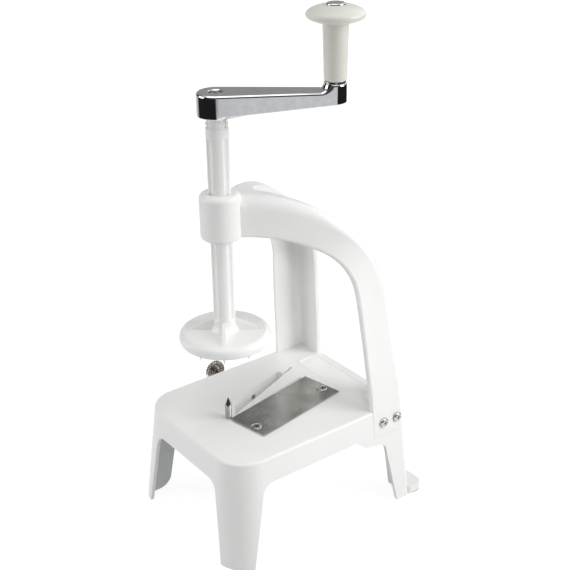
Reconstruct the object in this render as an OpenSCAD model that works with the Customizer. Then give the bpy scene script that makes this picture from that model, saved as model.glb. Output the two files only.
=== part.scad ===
// Hand cranked spiral slicer: a stool-shaped base, an arch that carries an upright
// spindle, a crank with a turning grip, and a fixed blade beside a centre pin.
// Origin: on the spindle axis, at the level of the deck. +Z up, +Y to the rear. Millimetres.

/* [Base] */
// Width of the deck
base_w = 130; // [120:1:150]
// Length of the deck, front to rear
base_l = 165; // [155:1:190]
// Distance from the deck's front edge to the centre pin
pin_setback = 40; // [36:1:48]
// Height of the deck above the table
deck_h = 88; // [70:1:110]
// Thickness of the deck plate
deck_t = 3.5; // [3:0.25:5]
// Thickness of the skirt and leg walls
wall = 3; // [2:0.25:4]
// Depth of the skirt below the deck's top
skirt_h = 20.5; // [19:0.5:24]
// Corner radius at the front of the deck
front_r = 26; // [18:1:30]
// Corner radius at the rear of the deck
rear_r = 4; // [3.5:0.5:8]
// Rounding of the deck's top edge
deck_edge_r = 2; // [0.5:0.25:3]
// How far the front legs splay out forwards by the table
leg_splay = 7; // [3:0.5:10]
// How far all the legs splay out sideways by the table
side_splay = 10; // [5:0.5:12]
// How far the rear legs splay out backwards by the table
rear_splay = 2.5; // [0:0.5:6]
// Width of a front leg where it leaves the skirt
leg_top_w = 27; // [24:0.5:32]
// Width of a front leg's front face at the table
leg_foot_w = 20; // [15:0.5:24]
// Width of a front leg's side face at the table
leg_side_w = 17.5; // [14:0.5:22]
// Width of a rear leg's side where it leaves the skirt
rear_leg_top_w = 22; // [19:0.5:26]
// Width of a rear leg's side at the table
rear_leg_foot_w = 13.5; // [10:0.5:18]
// Fillet between a leg and the skirt
leg_fillet_r = 10; // [5:0.5:12]

/* [Rear feet] */
// Length of the foot tab behind a rear leg
tab_l = 14; // [13:0.5:22]
// Width of a foot tab
tab_w = 22; // [20:0.5:30]
// Height of a foot tab
tab_h = 7.3; // [6:0.1:12]
// Thickness of the rubber pad under a tab
pad_t = 2.5; // [2:0.5:5]
// Diameter of the rubber pad
pad_d = 12.5; // [10:0.5:14]
// How far a pad stands out under its tab
pad_show = 1.2; // [0.8:0.1:2]
// Diameter of the pad's plug
plug_d = 6; // [4:0.5:8]

/* [Blade] */
// Width of the blade plate, from its cutting edge
blade_w = 36.5; // [32:0.5:40]
// Length of the blade plate
blade_l = 88.5; // [84:0.5:94]
// Thickness of the blade plate
blade_t = 1.5; // [1:0.1:2]
// How far the blade stands above the deck, which is the slice thickness
blade_rise = 1; // [0.5:0.1:1.4]
// Turn of the blade from the front-to-rear direction
blade_angle = 10.5; // [8:0.5:13]
// Distance of the cutting edge from the pin's axis
blade_offset = 3.3; // [3:0.1:5]
// How far the blade reaches in front of the pin's axis
blade_lead = 1.5; // [0.5:0.5:5]
// Width of the ground bevel under the cutting edge
bevel_w = 5; // [3:0.5:8]
// Distance of the blade's screws from the back edge
blade_screw_inset = 13; // [9:0.5:16]
// Distance of the blade's screws from its ends
blade_screw_margin = 5.6; // [5.2:0.1:10]
// Width of the slice channel under the blade
channel_w = 14; // [10:0.5:16]

/* [Comb well] */
// Turn of the comb slit from the front-to-rear direction
comb_angle = 21.6; // [20:0.2:23]
// Distance of the slit's face from the pin's axis
comb_offset = 2.1; // [1.8:0.1:2.6]
// Width of the comb slit
slit_t = 2; // [1.5:0.1:3]
// Distance along the slit at which the well starts
well_start = 5.5; // [5:0.5:8]
// Distance along the slit at which the well ends
well_end = 81.5; // [76:0.5:86]
// Width of the well at its near corner
well_near_w = 11.8; // [10:0.2:13]
// Width of the well at its far end
well_far_w = 7.5; // [6:0.2:9]
// Distance along the slit at which the comb slit ends
slit_end = 93; // [90:0.5:96]
// Depth of the well's walls
well_depth = 17; // [14:0.5:20]
// Thickness of the well's walls
well_wall = 2.5; // [1.5:0.25:3]

/* [Centre pin] */
// Diameter of the pin
pin_d = 5.1; // [4.5:0.1:5.4]
// Height of the pin's round part above the deck
pin_round_h = 11.5; // [8:0.5:16]
// Height of the pin's four-sided point
pin_point_h = 6.5; // [4:0.5:10]
// Diameter of the pin's threaded tail
pin_tail_d = 4; // [3:0.5:4]

/* [Thumbscrew] */
// Diameter of the thumbscrew's stud
thumb_d = 5; // [4:0.5:6]
// Diameter of the knurled head
thumb_head_d = 17.5; // [14:0.5:20]
// Thickness of the knurled head
thumb_head_t = 4; // [2.5:0.25:5]
// Distance from the base's side to the knurled head
thumb_reach = 14.5; // [10:0.5:20]
// Distance of the thumbscrew behind the pin's axis
thumb_y = 41; // [30:1:50]
// Depth of the thumbscrew's axis below the deck
thumb_drop = 8.5; // [8:0.25:11]
// Outside diameter of the threaded insert
insert_d = 8.5; // [7.5:0.5:9]
// Length of the threaded insert
insert_l = 10; // [6:0.5:14]

/* [Arch] */
// Thickness of the arch's side plates
arch_side_t = 4; // [3:0.25:5]
// Thickness of the arch's back and top plate
arch_back_t = 5; // [3.5:0.25:6]
// Depth of an arch leg at the deck, front to rear
arch_leg_d = 31.5; // [29:0.5:36]
// Width of the back plate on a leg
arch_back_w = 26; // [20:0.5:28]
// Depth of the arch's feet below the deck
foot_drop = 23; // [20:0.5:25]
// Height of the collar's top above the deck
collar_top = 189; // [175:1:205]
// Height of the collar
collar_h = 35; // [30:0.5:40]
// Outside diameter of the collar
collar_d = 30.5; // [28:0.5:34]
// Rounding of the arch's outer back edge
arch_edge_r = 7; // [3:0.5:8]
// Angle between an arm and the front-to-rear direction
arm_angle = 30.8; // [28:0.2:33]

/* [Spindle] */
// Diameter of the spindle shaft
shaft_d = 16.4; // [14:0.2:18]
// Depth of the shaft's flutes
flute_depth = 1.2; // [0.5:0.1:1.8]
// Radius of the flutes
flute_r = 3.9; // [3:0.1:5]
// Diameter of the pusher disc
disc_d = 70; // [60:1:76]
// Thickness of the pusher disc
disc_t = 9; // [7:0.5:12]
// Height of the disc's underside above the deck, as it stands
disc_z = 70; // [66:1:84]
// Length of the pusher's prongs
prong_l = 7; // [4:0.5:10]
// Diameter of the circle of prongs
prong_ring_d = 51; // [40:1:56]
// Number of prongs
prong_count = 8; // [4:1:10]
// Thickness of the gussets between shaft and disc
gusset_t = 2.8; // [2:0.1:4]
// Height of the gussets above the disc
gusset_h = 9; // [6:0.5:14]
// Thickness of the friction ring in the collar
ring_t = 2.5; // [2:0.1:3]

/* [Crank] */
// Throw of the crank, from the spindle axis to the grip axis
crank_throw = 82.5; // [70:0.5:95]
// Direction that the crank points, from the right hand side
crank_angle = 53.5; // [0:0.5:360]
// Gap between the collar's top and the crank's hub, as it stands
crank_gap = 57; // [50:1:70]
// Diameter of the crank's hub
hub_d = 27.2; // [25:0.2:32]
// Height of the crank's hub
hub_h = 17; // [15:0.5:20]
// Width of the crank's grip end
crank_end_d = 16; // [14:0.5:20]
// Height of the arm at its grip end
crank_end_h = 8; // [7:0.5:10]
// Height of the boss under the grip
boss_h = 5.5; // [3:0.5:8]
// Diameter of the shaft's neck under the hub
neck_d = 15; // [13:0.2:15.6]
// Length of the neck below the hub
neck_l = 8.5; // [6:0.5:12]
// Side of the square drive inside the hub
drive_w = 10; // [9:0.2:10.4]
// Length of the square drive
drive_l = 9; // [6:0.5:10]

/* [Grip] */
// Overall length of the grip
grip_l = 52; // [44:0.5:62]
// Diameter of the grip's stem at the crank
stem_low_d = 16; // [15.5:0.5:18]
// Diameter of the grip's stem under the knob
stem_top_d = 18; // [16:0.5:22]
// Diameter of the knob
knob_d = 41; // [34:0.5:48]
// Height of the knob
knob_h = 13; // [10:0.5:18]
// Diameter of the axle
axle_d = 8; // [6:0.5:9]
// Diameter of the axle's head
axle_head_d = 13; // [12:0.5:15]
// Thickness of the axle's head
axle_head_t = 2; // [1.5:0.1:3]

/* [Fasteners] */
// Diameter of the machine screws
screw_d = 4; // [3:0.5:4]
// Diameter of the screw heads
screw_head_d = 8; // [7:0.25:8.5]
// Width across the flats of the nuts
nut_af = 7; // [6:0.25:7.5]
// Thickness of the nuts
nut_t = 3.2; // [2.4:0.2:4]
// Thickness of the washers
washer_t = 0.8; // [0.5:0.1:1.2]
// Radial clearance of turning and sliding fits
run_gap = 0.06; // [0.02:0.01:0.1]
// Clearance between seated pieces
seat_gap = 0.15; // [0.1:0.05:0.3]

/* [Hidden] */
$fn = 64;

white = [0.93, 0.93, 0.92];
ivory = [0.88, 0.88, 0.85];
chrome = [0.72, 0.73, 0.75];
steel = [0.62, 0.62, 0.6];
nickel = [0.3, 0.29, 0.28];
brass = [0.75, 0.6, 0.3];
rubber = [0.08, 0.08, 0.08];

// A thin slice, and the overlap of shapes that are one piece
skin = 0.02;
lap = 0.5;

half_w = base_w / 2;
front_y = -pin_setback;
rear_y = base_l - pin_setback;
side_lean = side_splay / deck_h;
front_lean = leg_splay / deck_h;
rear_fillet_r = 6;
tab_corner_r = 6;
pad_y = pad_d / 2 + 0.6;
pad_out = 2.5;
plug_l = tab_h - pad_t + pad_show - 2.5;

// Screws, nuts and the cross cut in the screws' heads
screw_r = screw_d / 2;
nut_r = nut_af / sqrt(3);
pan_head_h = 2.6;
pan_edge_r = 1.6;
pan_low_r = 0.3;
cross_w = 4.2;
cross_t = 0.9;
cross_depth = 1.3;

// The arch's feet sit in recesses in the base's sides, on seats that take their screws
foot_front_y = rear_y - arch_leg_d;
foot_screw_y = [rear_y - 21, rear_y - 7];
foot_screw_z = -0.52 * foot_drop;
spot_depth = 0.45;
spot_x = half_w - side_lean * foot_screw_z - spot_depth;
seat_wall = 3.5;
seat_x = half_w - arch_side_t - seat_gap - seat_wall;
nut_room = 6;
deep_skirt_h = foot_drop + 7.5;

// The blade's seat in the deck, and the bosses below the deck
blade_seat_z = blade_rise - blade_t;
blade_far = blade_offset + blade_w;
blade_screw_n = blade_far - blade_screw_inset;
blade_screw_u = [-blade_lead + blade_screw_margin, blade_l - blade_lead - blade_screw_margin];
edge_t = 0.2;
sink_r = screw_head_d / 2 + 0.9;
sink_h = sink_r - screw_r;
channel_start = 5;
boss_d = 11;
pin_boss_d = 9.6;
pin_washer_d = 8.4;
boss_drop = deck_t + 4.5;

// The comb well's slanting near end, and the thumbscrew that reaches its left wall
well_nose = 16;
well_left_near = [comb_offset - well_near_w, well_start + well_nose];
well_left_far = [comb_offset - well_far_w, well_end];
function comb_xy(p) = [p[0] * cos(comb_angle) - p[1] * sin(comb_angle),
    p[0] * sin(comb_angle) + p[1] * cos(comb_angle)];
tip_share = (thumb_y - comb_xy(well_left_near)[1])
    / (comb_xy(well_left_far)[1] - comb_xy(well_left_near)[1]);
thumb_tip_x = comb_xy(well_left_near + tip_share * (well_left_far - well_left_near))[0] - 0.3;
insert_x = 0.2 - half_w - side_lean * thumb_drop;
knurl_count = 28;

// The arch's edges and the rings of its arms, from the deck up to the collar
collar_bottom = collar_top - collar_h;
low_edge_z = collar_bottom + 1;
top_edge_z = collar_top - 2.3;
low_arm_r = 125;
low_bend_r = 53.5;
low_joint = 29.7;
top_arm_r = 140;
top_bend_r = 100;
top_joint = 38.4;
arm_x0 = 12.5;
arm_y0 = 8.7;
arm_root = 4;
gap_start_y = 30;
rim_r = 0.8;
rim_front_r = 2.5;
foot_edge_r = 3;
collar_edge_r = 12.5;
arch_lean = front_lean;
arm_spread = 0.15;
arm_spread_z = 100;
arm_blend = 8;
gap_slope = 0.52;
gap_apex_y = 20.8;
gap_nose = 6;
leg_turn = 85.7;
leg_steps = 4;
bend_steps = 8;
arm_steps = 12;
arch_rings = leg_steps + bend_steps + arm_steps + 2;
foot_corners = [0, 1, 2, 3, 4, 5, 6, 10, 11, 12, 13, 14];
back_corners = [6, 7, 8, 9, 10];
inner_corners = [7, 8];

// The spindle in its collar, and the crank and the grip above it
shaft_r = shaft_d / 2;
bore_gap = 0.08;
ring_z = collar_bottom + collar_h / 2;
ring_r = shaft_r + run_gap;
hub_z = collar_top + crank_gap;
hub_top = hub_z + hub_h;
ledge_z = hub_z - neck_l;
flute_top = ledge_z - 9;
disc_top = disc_z + disc_t;
gusset_r = disc_d / 2 - 6;
pin_socket_depth = 8;
drive_top = hub_z + drive_l;
spindle_insert_d = 6;
spindle_insert_l = 12;
crank_screw_l = 16;
hub_sink = 4.2;
hub_sink_d = screw_head_d + 2;
boss_top = hub_top + boss_h;
boss_fillet_r = boss_h - 0.5;
axle_thread_d = 6;
grip_z = boss_top + washer_t + 0.2;
grip_top = grip_z + grip_l;
head_z = grip_top - 0.6 * axle_head_t;
knob_steps = 20;

// A flat outline in X and Z, drawn out from one Y to another
module along_y(from, to) {
    translate([0, to, 0]) rotate([90, 0, 0]) linear_extrude(to - from) children();
}

// A flat outline in Y and Z, drawn out from one X to another
module along_x(from, to) {
    translate([from, 0, 0]) rotate([90, 0, 90]) linear_extrude(to - from) children();
}

// A round bar along X, from one X to another
module bar_x(from, to, r) {
    translate([from, 0, 0]) rotate([0, 90, 0]) cylinder(h = to - from, r = r);
}

// A rectangle with round corners, from its low corner
module round_rect(size, r) {
    translate([r, 0]) square([size[0] - 2 * r, size[1]]);
    translate([0, r]) square([size[0], size[1] - 2 * r]);
    for (x = [r, size[0] - r], y = [r, size[1] - r]) {
        translate([x, y]) circle(r = r);
    }
}

// A quarter of a disc, in the corner between the two axes
module quarter(r) {
    intersection() {
        circle(r = r);
        square(r);
    }
}

// Half the outline of a round body with rounded top and bottom edges, for turning
module round_edged(r, h, top_r, low_r) {
    square([r - low_r, h - top_r]);
    square([r - top_r, h]);
    translate([0, low_r]) square([r, h - top_r - low_r]);
    translate([r - low_r, low_r]) mirror([0, 1]) quarter(low_r);
    translate([r - top_r, h - top_r]) quarter(top_r);
}

// A washer and a nut, standing up from z = 0
module washer(outer_r, inner_r, t) {
    difference() {
        cylinder(h = t, r = outer_r);
        translate([0, 0, -1]) cylinder(h = t + 2, r = inner_r);
    }
}

module nut() {
    difference() {
        cylinder(h = nut_t, r = nut_r, $fn = 6);
        translate([0, 0, -1]) cylinder(h = nut_t + 2, r = screw_r + run_gap);
    }
}

// The cross cut in a screw's head, downwards from z = 0
module cross_recess() {
    for (turn = [0, 90]) {
        rotate([0, 0, turn]) translate([-cross_w / 2, -cross_t / 2, -cross_depth])
            cube([cross_w, cross_t, cross_depth + 1]);
    }
}

// A pan head screw: its head stands on z = 0 and its shank hangs below
module pan_screw(shank_l) {
    difference() {
        union() {
            rotate_extrude() round_edged(screw_head_d / 2, pan_head_h, pan_edge_r, pan_low_r);
            translate([0, 0, -shank_l]) cylinder(h = shank_l + lap, r = screw_r);
        }
        translate([0, 0, pan_head_h]) cross_recess();
    }
}

// Places along the blade and along the comb slit
module in_blade_frame() {
    rotate([0, 0, blade_angle]) children();
}

module in_comb_frame() {
    rotate([0, 0, comb_angle]) children();
}

module at_blade_screws() {
    for (u = blade_screw_u) {
        in_blade_frame() translate([blade_screw_n, u, 0]) children();
    }
}

// Both sides' arch screws, with +Z turned outwards and z = 0 on the spot face
module at_arch_screws() {
    for (side = [0, 1], y = foot_screw_y) {
        mirror([side, 0, 0]) translate([spot_x, y, foot_screw_z]) rotate([0, 90, 0]) children();
    }
}

module at_thumbscrew() {
    translate([0, thumb_y, -thumb_drop]) children();
}

module at_rear_tabs() {
    for (side = [0, 1]) {
        mirror([side, 0, 0]) translate([half_w + side_splay - tab_w / 2, rear_y + rear_splay, 0]) children();
    }
}

module at_grip() {
    rotate([0, 0, crank_angle]) translate([crank_throw, 0, 0]) children();
}

// One level of the base's outline, as thin discs at its corners
module base_level(z, inset) {
    out = -z / deck_h;
    hx = half_w + side_splay * out;
    for (side = [-1, 1]) {
        translate([side * (hx - front_r), front_y - leg_splay * out + front_r, z])
            cylinder(h = skin, r = front_r - inset, $fn = 48);
        translate([side * (hx - rear_r), rear_y + rear_splay * out - rear_r, z])
            cylinder(h = skin, r = rear_r - inset, $fn = 32);
    }
}

module base_outside() {
    hull() {
        base_level(-deck_h, 0);
        for (turn = [0:22.5:90]) {
            base_level(-skin - deck_edge_r * (1 - sin(turn)), deck_edge_r * (1 - cos(turn)));
        }
    }
}

module base_inside() {
    hull() {
        base_level(-deck_h - skin, wall);
        base_level(-deck_t - skin, wall);
    }
}

// Where a fillet's centre lies beside a leg edge that leans by this slope
function fillet_in(slope, r) = r * sqrt(1 + slope * slope) - slope * r;

// The opening between the left and right legs, in X and Z
module leg_opening_front() {
    x_top = half_w + side_lean * skirt_h - leg_top_w;
    x_low = half_w + leg_splay - leg_foot_w;
    slope = (x_low - x_top) / (deck_h - skirt_h);
    lean = atan(slope);
    cx = x_top - fillet_in(slope, leg_fillet_r);
    touch_x = cx + leg_fillet_r * cos(lean);
    touch_z = -skirt_h - leg_fillet_r * (1 - sin(lean));
    for (side = [-1, 1]) {
        translate([side * cx, -skirt_h - leg_fillet_r]) circle(r = leg_fillet_r);
    }
    polygon([
        [-cx, -skirt_h], [cx, -skirt_h], [touch_x, touch_z], [x_low + slope, -deck_h - 1],
        [-x_low - slope, -deck_h - 1], [-touch_x, touch_z]
    ]);
}

// The opening between the front and rear legs, in Y and Z: the skirt is deeper under the arch
module leg_opening_side() {
    front_top = front_y - front_lean * skirt_h + leg_top_w;
    front_low = front_y - leg_splay + leg_side_w;
    front_slope = (front_top - front_low) / (deck_h - skirt_h);
    front_c = front_top + fillet_in(front_slope, leg_fillet_r);
    rear_top = rear_y + rear_splay * deep_skirt_h / deck_h - rear_leg_top_w;
    rear_low = rear_y + rear_splay - rear_leg_foot_w;
    rear_slope = (rear_low - rear_top) / (deck_h - deep_skirt_h);
    rear_c = rear_top - fillet_in(rear_slope, rear_fillet_r);
    translate([front_c, -skirt_h - leg_fillet_r]) circle(r = leg_fillet_r);
    translate([rear_c, -deep_skirt_h - rear_fillet_r]) circle(r = rear_fillet_r);
    polygon([
        [front_c, -skirt_h],
        [foot_front_y - 18.5, -skirt_h],
        [foot_front_y - 8.5, 2 - deep_skirt_h],
        [rear_c, -deep_skirt_h],
        [rear_c + rear_fillet_r * cos(atan(rear_slope)),
            -deep_skirt_h - rear_fillet_r * (1 - sin(atan(rear_slope)))],
        [rear_low + rear_slope, -deck_h - 1],
        [front_low - front_slope, -deck_h - 1],
        [front_c - leg_fillet_r * cos(atan(front_slope)),
            -skirt_h - leg_fillet_r * (1 - sin(atan(front_slope)))]
    ]);
}

// The comb well and its slit, as seen from above in the comb's frame
module well_outline(grow) {
    slit_x = comb_offset + grow;
    polygon([
        [slit_x, well_start - 2 * grow],
        [slit_x, well_end + grow],
        [comb_offset - well_far_w - grow, well_end + grow],
        [comb_offset - well_near_w - grow, well_start + well_nose - 0.8 * grow]
    ]);
}

module slit_outline(grow) {
    translate([comb_offset - slit_t - grow, well_end - lap])
        square([slit_t + 2 * grow, slit_end - well_end + lap + grow]);
}

// The slice channel under the blade, as seen from above in the blade's frame
module channel_outline() {
    polygon([
        [blade_offset - 1.1, channel_start],
        [blade_offset - 3.8, blade_l - blade_lead - 3],
        [channel_w, blade_l - blade_lead - 3],
        [channel_w, channel_start]
    ]);
}

// The seat that an arch foot is screwed to, with its outer face in the base's draft
module arch_seats() {
    for (side = [0, 1]) {
        mirror([side, 0, 0]) along_y(foot_front_y - 3, rear_y - wall + lap)
            polygon([
                [seat_x, -deck_t + lap], [half_w - wall / 2, -deck_t + lap],
                [half_w + side_lean * deep_skirt_h - wall / 2, 1 - deep_skirt_h],
                [seat_x, 1 - deep_skirt_h]
            ]);
    }
}

module arch_recesses() {
    x_top = half_w - arch_side_t - seat_gap;
    for (side = [0, 1]) {
        mirror([side, 0, 0]) along_y(foot_front_y - seat_gap, rear_y + 5)
            polygon([
                [x_top - side_lean, 1], [half_w + 9, 1],
                [half_w + 9, -foot_drop - seat_gap],
                [x_top + side_lean * (foot_drop + seat_gap), -foot_drop - seat_gap]
            ]);
    }
}

module base_bosses() {
    translate([0, 0, -boss_drop]) cylinder(h = boss_drop - lap, d = pin_boss_d);
    at_blade_screws() translate([0, 0, -boss_drop]) cylinder(h = boss_drop - lap - 1, d = boss_d);
    at_thumbscrew() bar_x(-half_w + 1, -half_w + insert_l + 1, insert_d / 2 + 2.5);
    at_rear_tabs() translate([-tab_w / 2, -wall - 1, pad_show - deck_h])
        linear_extrude(tab_h) round_rect([tab_w, tab_l + wall + 1], tab_corner_r);
}

// Everything that is drilled, milled or left open through the deck and the skirt
module base_cuts() {
    arch_recesses();
    in_blade_frame() {
        translate([blade_offset - seat_gap, -blade_lead - seat_gap, blade_seat_z])
            cube([blade_w + 2 * seat_gap, blade_l + 2 * seat_gap, 5]);
        translate([0, 0, -deck_h / 2]) linear_extrude(deck_h) channel_outline();
    }
    in_comb_frame() {
        translate([0, 0, -deck_h / 2]) linear_extrude(deck_h) well_outline(0);
        translate([0, 0, 3 - well_depth]) linear_extrude(deck_h) slit_outline(0);
    }
    translate([0, 0, -deck_h / 2]) cylinder(h = deck_h, r = pin_tail_d / 2 + run_gap);
    translate([0, 0, -deck_h / 2]) cylinder(h = deck_h / 2 - boss_drop, r = pin_washer_d / 2 + seat_gap);
    at_blade_screws() blade_sink();
    at_arch_screws() {
        translate([0, 0, -half_w / 2]) cylinder(h = half_w / 2, r = screw_r + seat_gap);
        translate([0, 0, seat_x - spot_x - nut_room]) cylinder(h = nut_room, r = nut_r + 0.35);
    }
    at_thumbscrew() {
        bar_x(-half_w - 5, insert_x + insert_l, insert_d / 2);
        bar_x(-half_w - 5, thumb_tip_x + 1, thumb_d / 2 + 0.3);
    }
    at_rear_tabs() translate([pad_out, pad_y, -deck_h]) {
        cylinder(h = pad_t, r = pad_d / 2 + run_gap);
        cylinder(h = pad_t + plug_l + 0.5, r = plug_d / 2);
    }
    translate([-half_w - 20, (front_y + rear_y) / 2, -deck_h - 1])
        cube([2 * half_w + 40, rear_y, pad_show + 1]);
}

module base() {
    color(white) difference() {
        union() {
            difference() {
                base_outside();
                base_inside();
                along_y(front_y - 20, rear_y + 20) leg_opening_front();
                along_x(-half_w - 20, half_w + 20) leg_opening_side();
            }
            arch_seats();
            base_bosses();
            in_comb_frame() translate([0, 0, -well_depth]) linear_extrude(well_depth - 1) {
                well_outline(well_wall);
                slit_outline(well_wall);
            }
        }
        base_cuts();
    }
}

module rear_pads() {
    color(rubber) at_rear_tabs() translate([pad_out, pad_y, -deck_h]) {
        rotate_extrude() round_edged(pad_d / 2, pad_t, 0.5, 0.8);
        cylinder(h = pad_t + plug_l, r = plug_d / 2 - run_gap);
    }
}

// A countersunk screw hole through the blade and the deck
module blade_sink() {
    translate([0, 0, -deck_h / 2]) cylinder(h = deck_h, r = screw_r + seat_gap);
    translate([0, 0, blade_rise - sink_h]) cylinder(h = sink_h, r1 = screw_r, r2 = sink_r);
    translate([0, 0, blade_rise]) cylinder(h = 1, r = sink_r);
}

module blade_plate() {
    color(steel) in_blade_frame() difference() {
        along_y(-blade_lead, blade_l - blade_lead) polygon([
            [blade_offset, blade_rise], [blade_far, blade_rise], [blade_far, blade_seat_z],
            [blade_offset + bevel_w, blade_seat_z], [blade_offset, blade_rise - edge_t]
        ]);
        for (u = blade_screw_u) {
            translate([blade_screw_n, u, 0]) {
                blade_sink();
            }
        }
    }
}

module blade_screws() {
    color(steel) at_blade_screws() difference() {
        union() {
            translate([0, 0, blade_rise - sink_h])
                cylinder(h = screw_head_d / 2 - screw_r, r1 = screw_r, r2 = screw_head_d / 2 - run_gap);
            translate([0, 0, -boss_drop - nut_t - 1.5]) cylinder(h = boss_drop + nut_t + 1.5, r = screw_r);
        }
        translate([0, 0, blade_rise - sink_r + screw_head_d / 2]) cross_recess();
    }
}

module blade_nuts() {
    color(steel) at_blade_screws() translate([0, 0, -boss_drop - nut_t]) nut();
}

module center_pin() {
    tail_l = boss_drop + washer_t + nut_t + 1.5;
    point_lean = atan((pin_d / 2 - 0.3) / pin_point_h);
    color(steel) difference() {
        union() {
            cylinder(h = pin_round_h + pin_point_h, d = pin_d);
            translate([0, 0, -tail_l]) cylinder(h = tail_l + lap, d = pin_tail_d);
        }
        for (turn = [0:90:270]) {
            rotate([0, 0, turn + crank_angle]) translate([pin_d / 2, -pin_d, pin_round_h])
                rotate([0, -point_lean, 0]) cube([pin_d, 2 * pin_d, 3 * pin_point_h]);
        }
    }
}

module pin_washer() {
    color(steel) translate([0, 0, -boss_drop - washer_t])
        washer(pin_washer_d / 2, pin_tail_d / 2 + seat_gap, washer_t);
}

module pin_nut() {
    color(steel) translate([0, 0, -boss_drop - washer_t - nut_t]) nut();
}

module thumb_insert() {
    color(brass) at_thumbscrew() difference() {
        bar_x(insert_x, insert_x + insert_l, insert_d / 2);
        bar_x(insert_x - 1, insert_x + insert_l + 1, thumb_d / 2 + run_gap);
    }
}

module thumbscrew() {
    head_x = -half_w - thumb_reach - thumb_head_t;
    color(nickel) at_thumbscrew() difference() {
        union() {
            bar_x(head_x + 1, thumb_tip_x, thumb_d / 2);
            bar_x(head_x, head_x + thumb_head_t, thumb_head_d / 2);
            bar_x(head_x, head_x + thumb_head_t + 3, thumb_d / 2 + 2);
        }
        for (turn = [0:360 / knurl_count:359]) {
            rotate([turn, 0, 0]) translate([0, 0, thumb_head_d / 2 + 0.2])
                bar_x(head_x - 1, head_x + thumb_head_t + 1, 0.7);
        }
    }
}

// The lower and upper edges of an arch arm, as distance from the collar and height: an arc that
// starts level at the collar, a tighter arc that turns it down, and a straight leg to the deck
function arc_1(r, z, turn) = [r * sin(turn), z - r * (1 - cos(turn))];
function arc_2(r1, r2, z, joint, turn) = arc_1(r1, z, joint)
    + r2 * [sin(turn) - sin(joint), cos(turn) - cos(joint)];
function to_yz(p) = [arm_y0 + cos(arm_angle) * p[0], p[1]];
function leg_point(top, foot_y, t) = [foot_y, 0] + t * (top - [foot_y, 0]);
function edge_at(i, r1, r2, z, joint, foot_y) =
    i <= leg_steps ? leg_point(to_yz(arc_2(r1, r2, z, joint, leg_turn)), foot_y, i / leg_steps)
    : i <= leg_steps + bend_steps
        ? to_yz(arc_2(r1, r2, z, joint, leg_turn - (leg_turn - joint) * (i - leg_steps) / bend_steps))
    : i < arch_rings - 1 ? to_yz(arc_1(r1, z, joint * (arch_rings - 2 - i) / arm_steps))
    : to_yz([-arm_root, z]);
function low_edge(i) = edge_at(i, low_arm_r, low_bend_r, low_edge_z, low_joint, rear_y - arch_leg_d);
function top_edge(i) = edge_at(i, top_arm_r, top_bend_r, top_edge_z, top_joint, rear_y);

// The outer side surface of the arch: the leaning leg plane blended into the slanting arm plane
function soft_min(a, b, k) = min(a, b) - pow(max(k - abs(a - b), 0), 2) / (4 * k);
function arch_x(p) = soft_min(half_w - arch_lean * p[1],
    arm_x0 + tan(arm_angle) * (p[0] - arm_y0) + arm_spread * max(0, arm_spread_z - p[1]), arm_blend);

// The gap between the two arms, which closes with a round end short of the collar
function gap_x(y) = y < gap_start_y ? 0
    : gap_slope * (y - gap_apex_y) * min(1, sqrt((y - gap_start_y) / gap_nose));
function back_width(i) = i <= leg_steps + bend_steps ? arch_back_w
    : min(arch_back_w, arch_x(top_edge(i)) - gap_x(top_edge(i)[0]));

// The section of an arm: a side plate and a back plate with a rounded outer corner, as distances
// inwards from the side surface and backwards from the lower edge. The outer corner grows rounder
// from the deck to the collar, and the inner corner follows it
function edge_r(i) = i <= leg_steps ? foot_edge_r + (arch_edge_r - foot_edge_r) * i / leg_steps
    : min(back_width(i) - 3,
        arch_edge_r + (collar_edge_r - arch_edge_r) * (i - leg_steps) / (arch_rings - 1 - leg_steps));
function inner_r(i) = min(max(1, edge_r(i) - arch_side_t + 1), back_width(i) - arch_side_t - 1);
function arm_section(i) =
    let(depth = norm(top_edge(i) - low_edge(i)),
        out_r = edge_r(i),
        in_r = inner_r(i),
        rim_out = i == 0 ? rim_r : rim_front_r,
        width = back_width(i))
    concat(
        [[0, rim_out]],
        [for (turn = [0:22.5:90]) [out_r * (1 - cos(turn)), depth - out_r * (1 - sin(turn))]],
        [[max(arch_side_t, out_r + 0.5), depth], [width, depth], [width, depth - arch_back_t]],
        [[arch_side_t + in_r, depth - arch_back_t], [arch_side_t, depth - arch_back_t - in_r]],
        [[arch_side_t, rim_r], [arch_side_t - rim_r, 0], [rim_out, 0], [0.29 * rim_out, 0.29 * rim_out]]
    );
function arm_ring(i) =
    let(low = low_edge(i), back = (top_edge(i) - low) / norm(top_edge(i) - low), section = arm_section(i),
        inner_x = arch_x(top_edge(i)) - back_width(i))
    [for (j = [0:len(section) - 1])
        let(at = low + back * section[j][1])
        [in_list(j, inner_corners) ? inner_x : arch_x(at) - section[j][0], at[0], at[1]]];

// The foot is the arm's side plate carried on below the deck, in line with the base's draft
function foot_ring() =
    [for (j = foot_corners) arm_ring(0)[j] + [side_lean * foot_drop, 0, -foot_drop]];
function wall_faces(low, high, skip) =
    [for (j = [0:len(low) - 1], half = [0, 1])
        let(next = (j + 1) % len(low))
        if (j != skip) half == 0 ? [low[j], high[j], low[next]] : [low[next], high[j], high[next]]];
function in_list(value, list) = len(search(value, list)) > 0;

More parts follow.
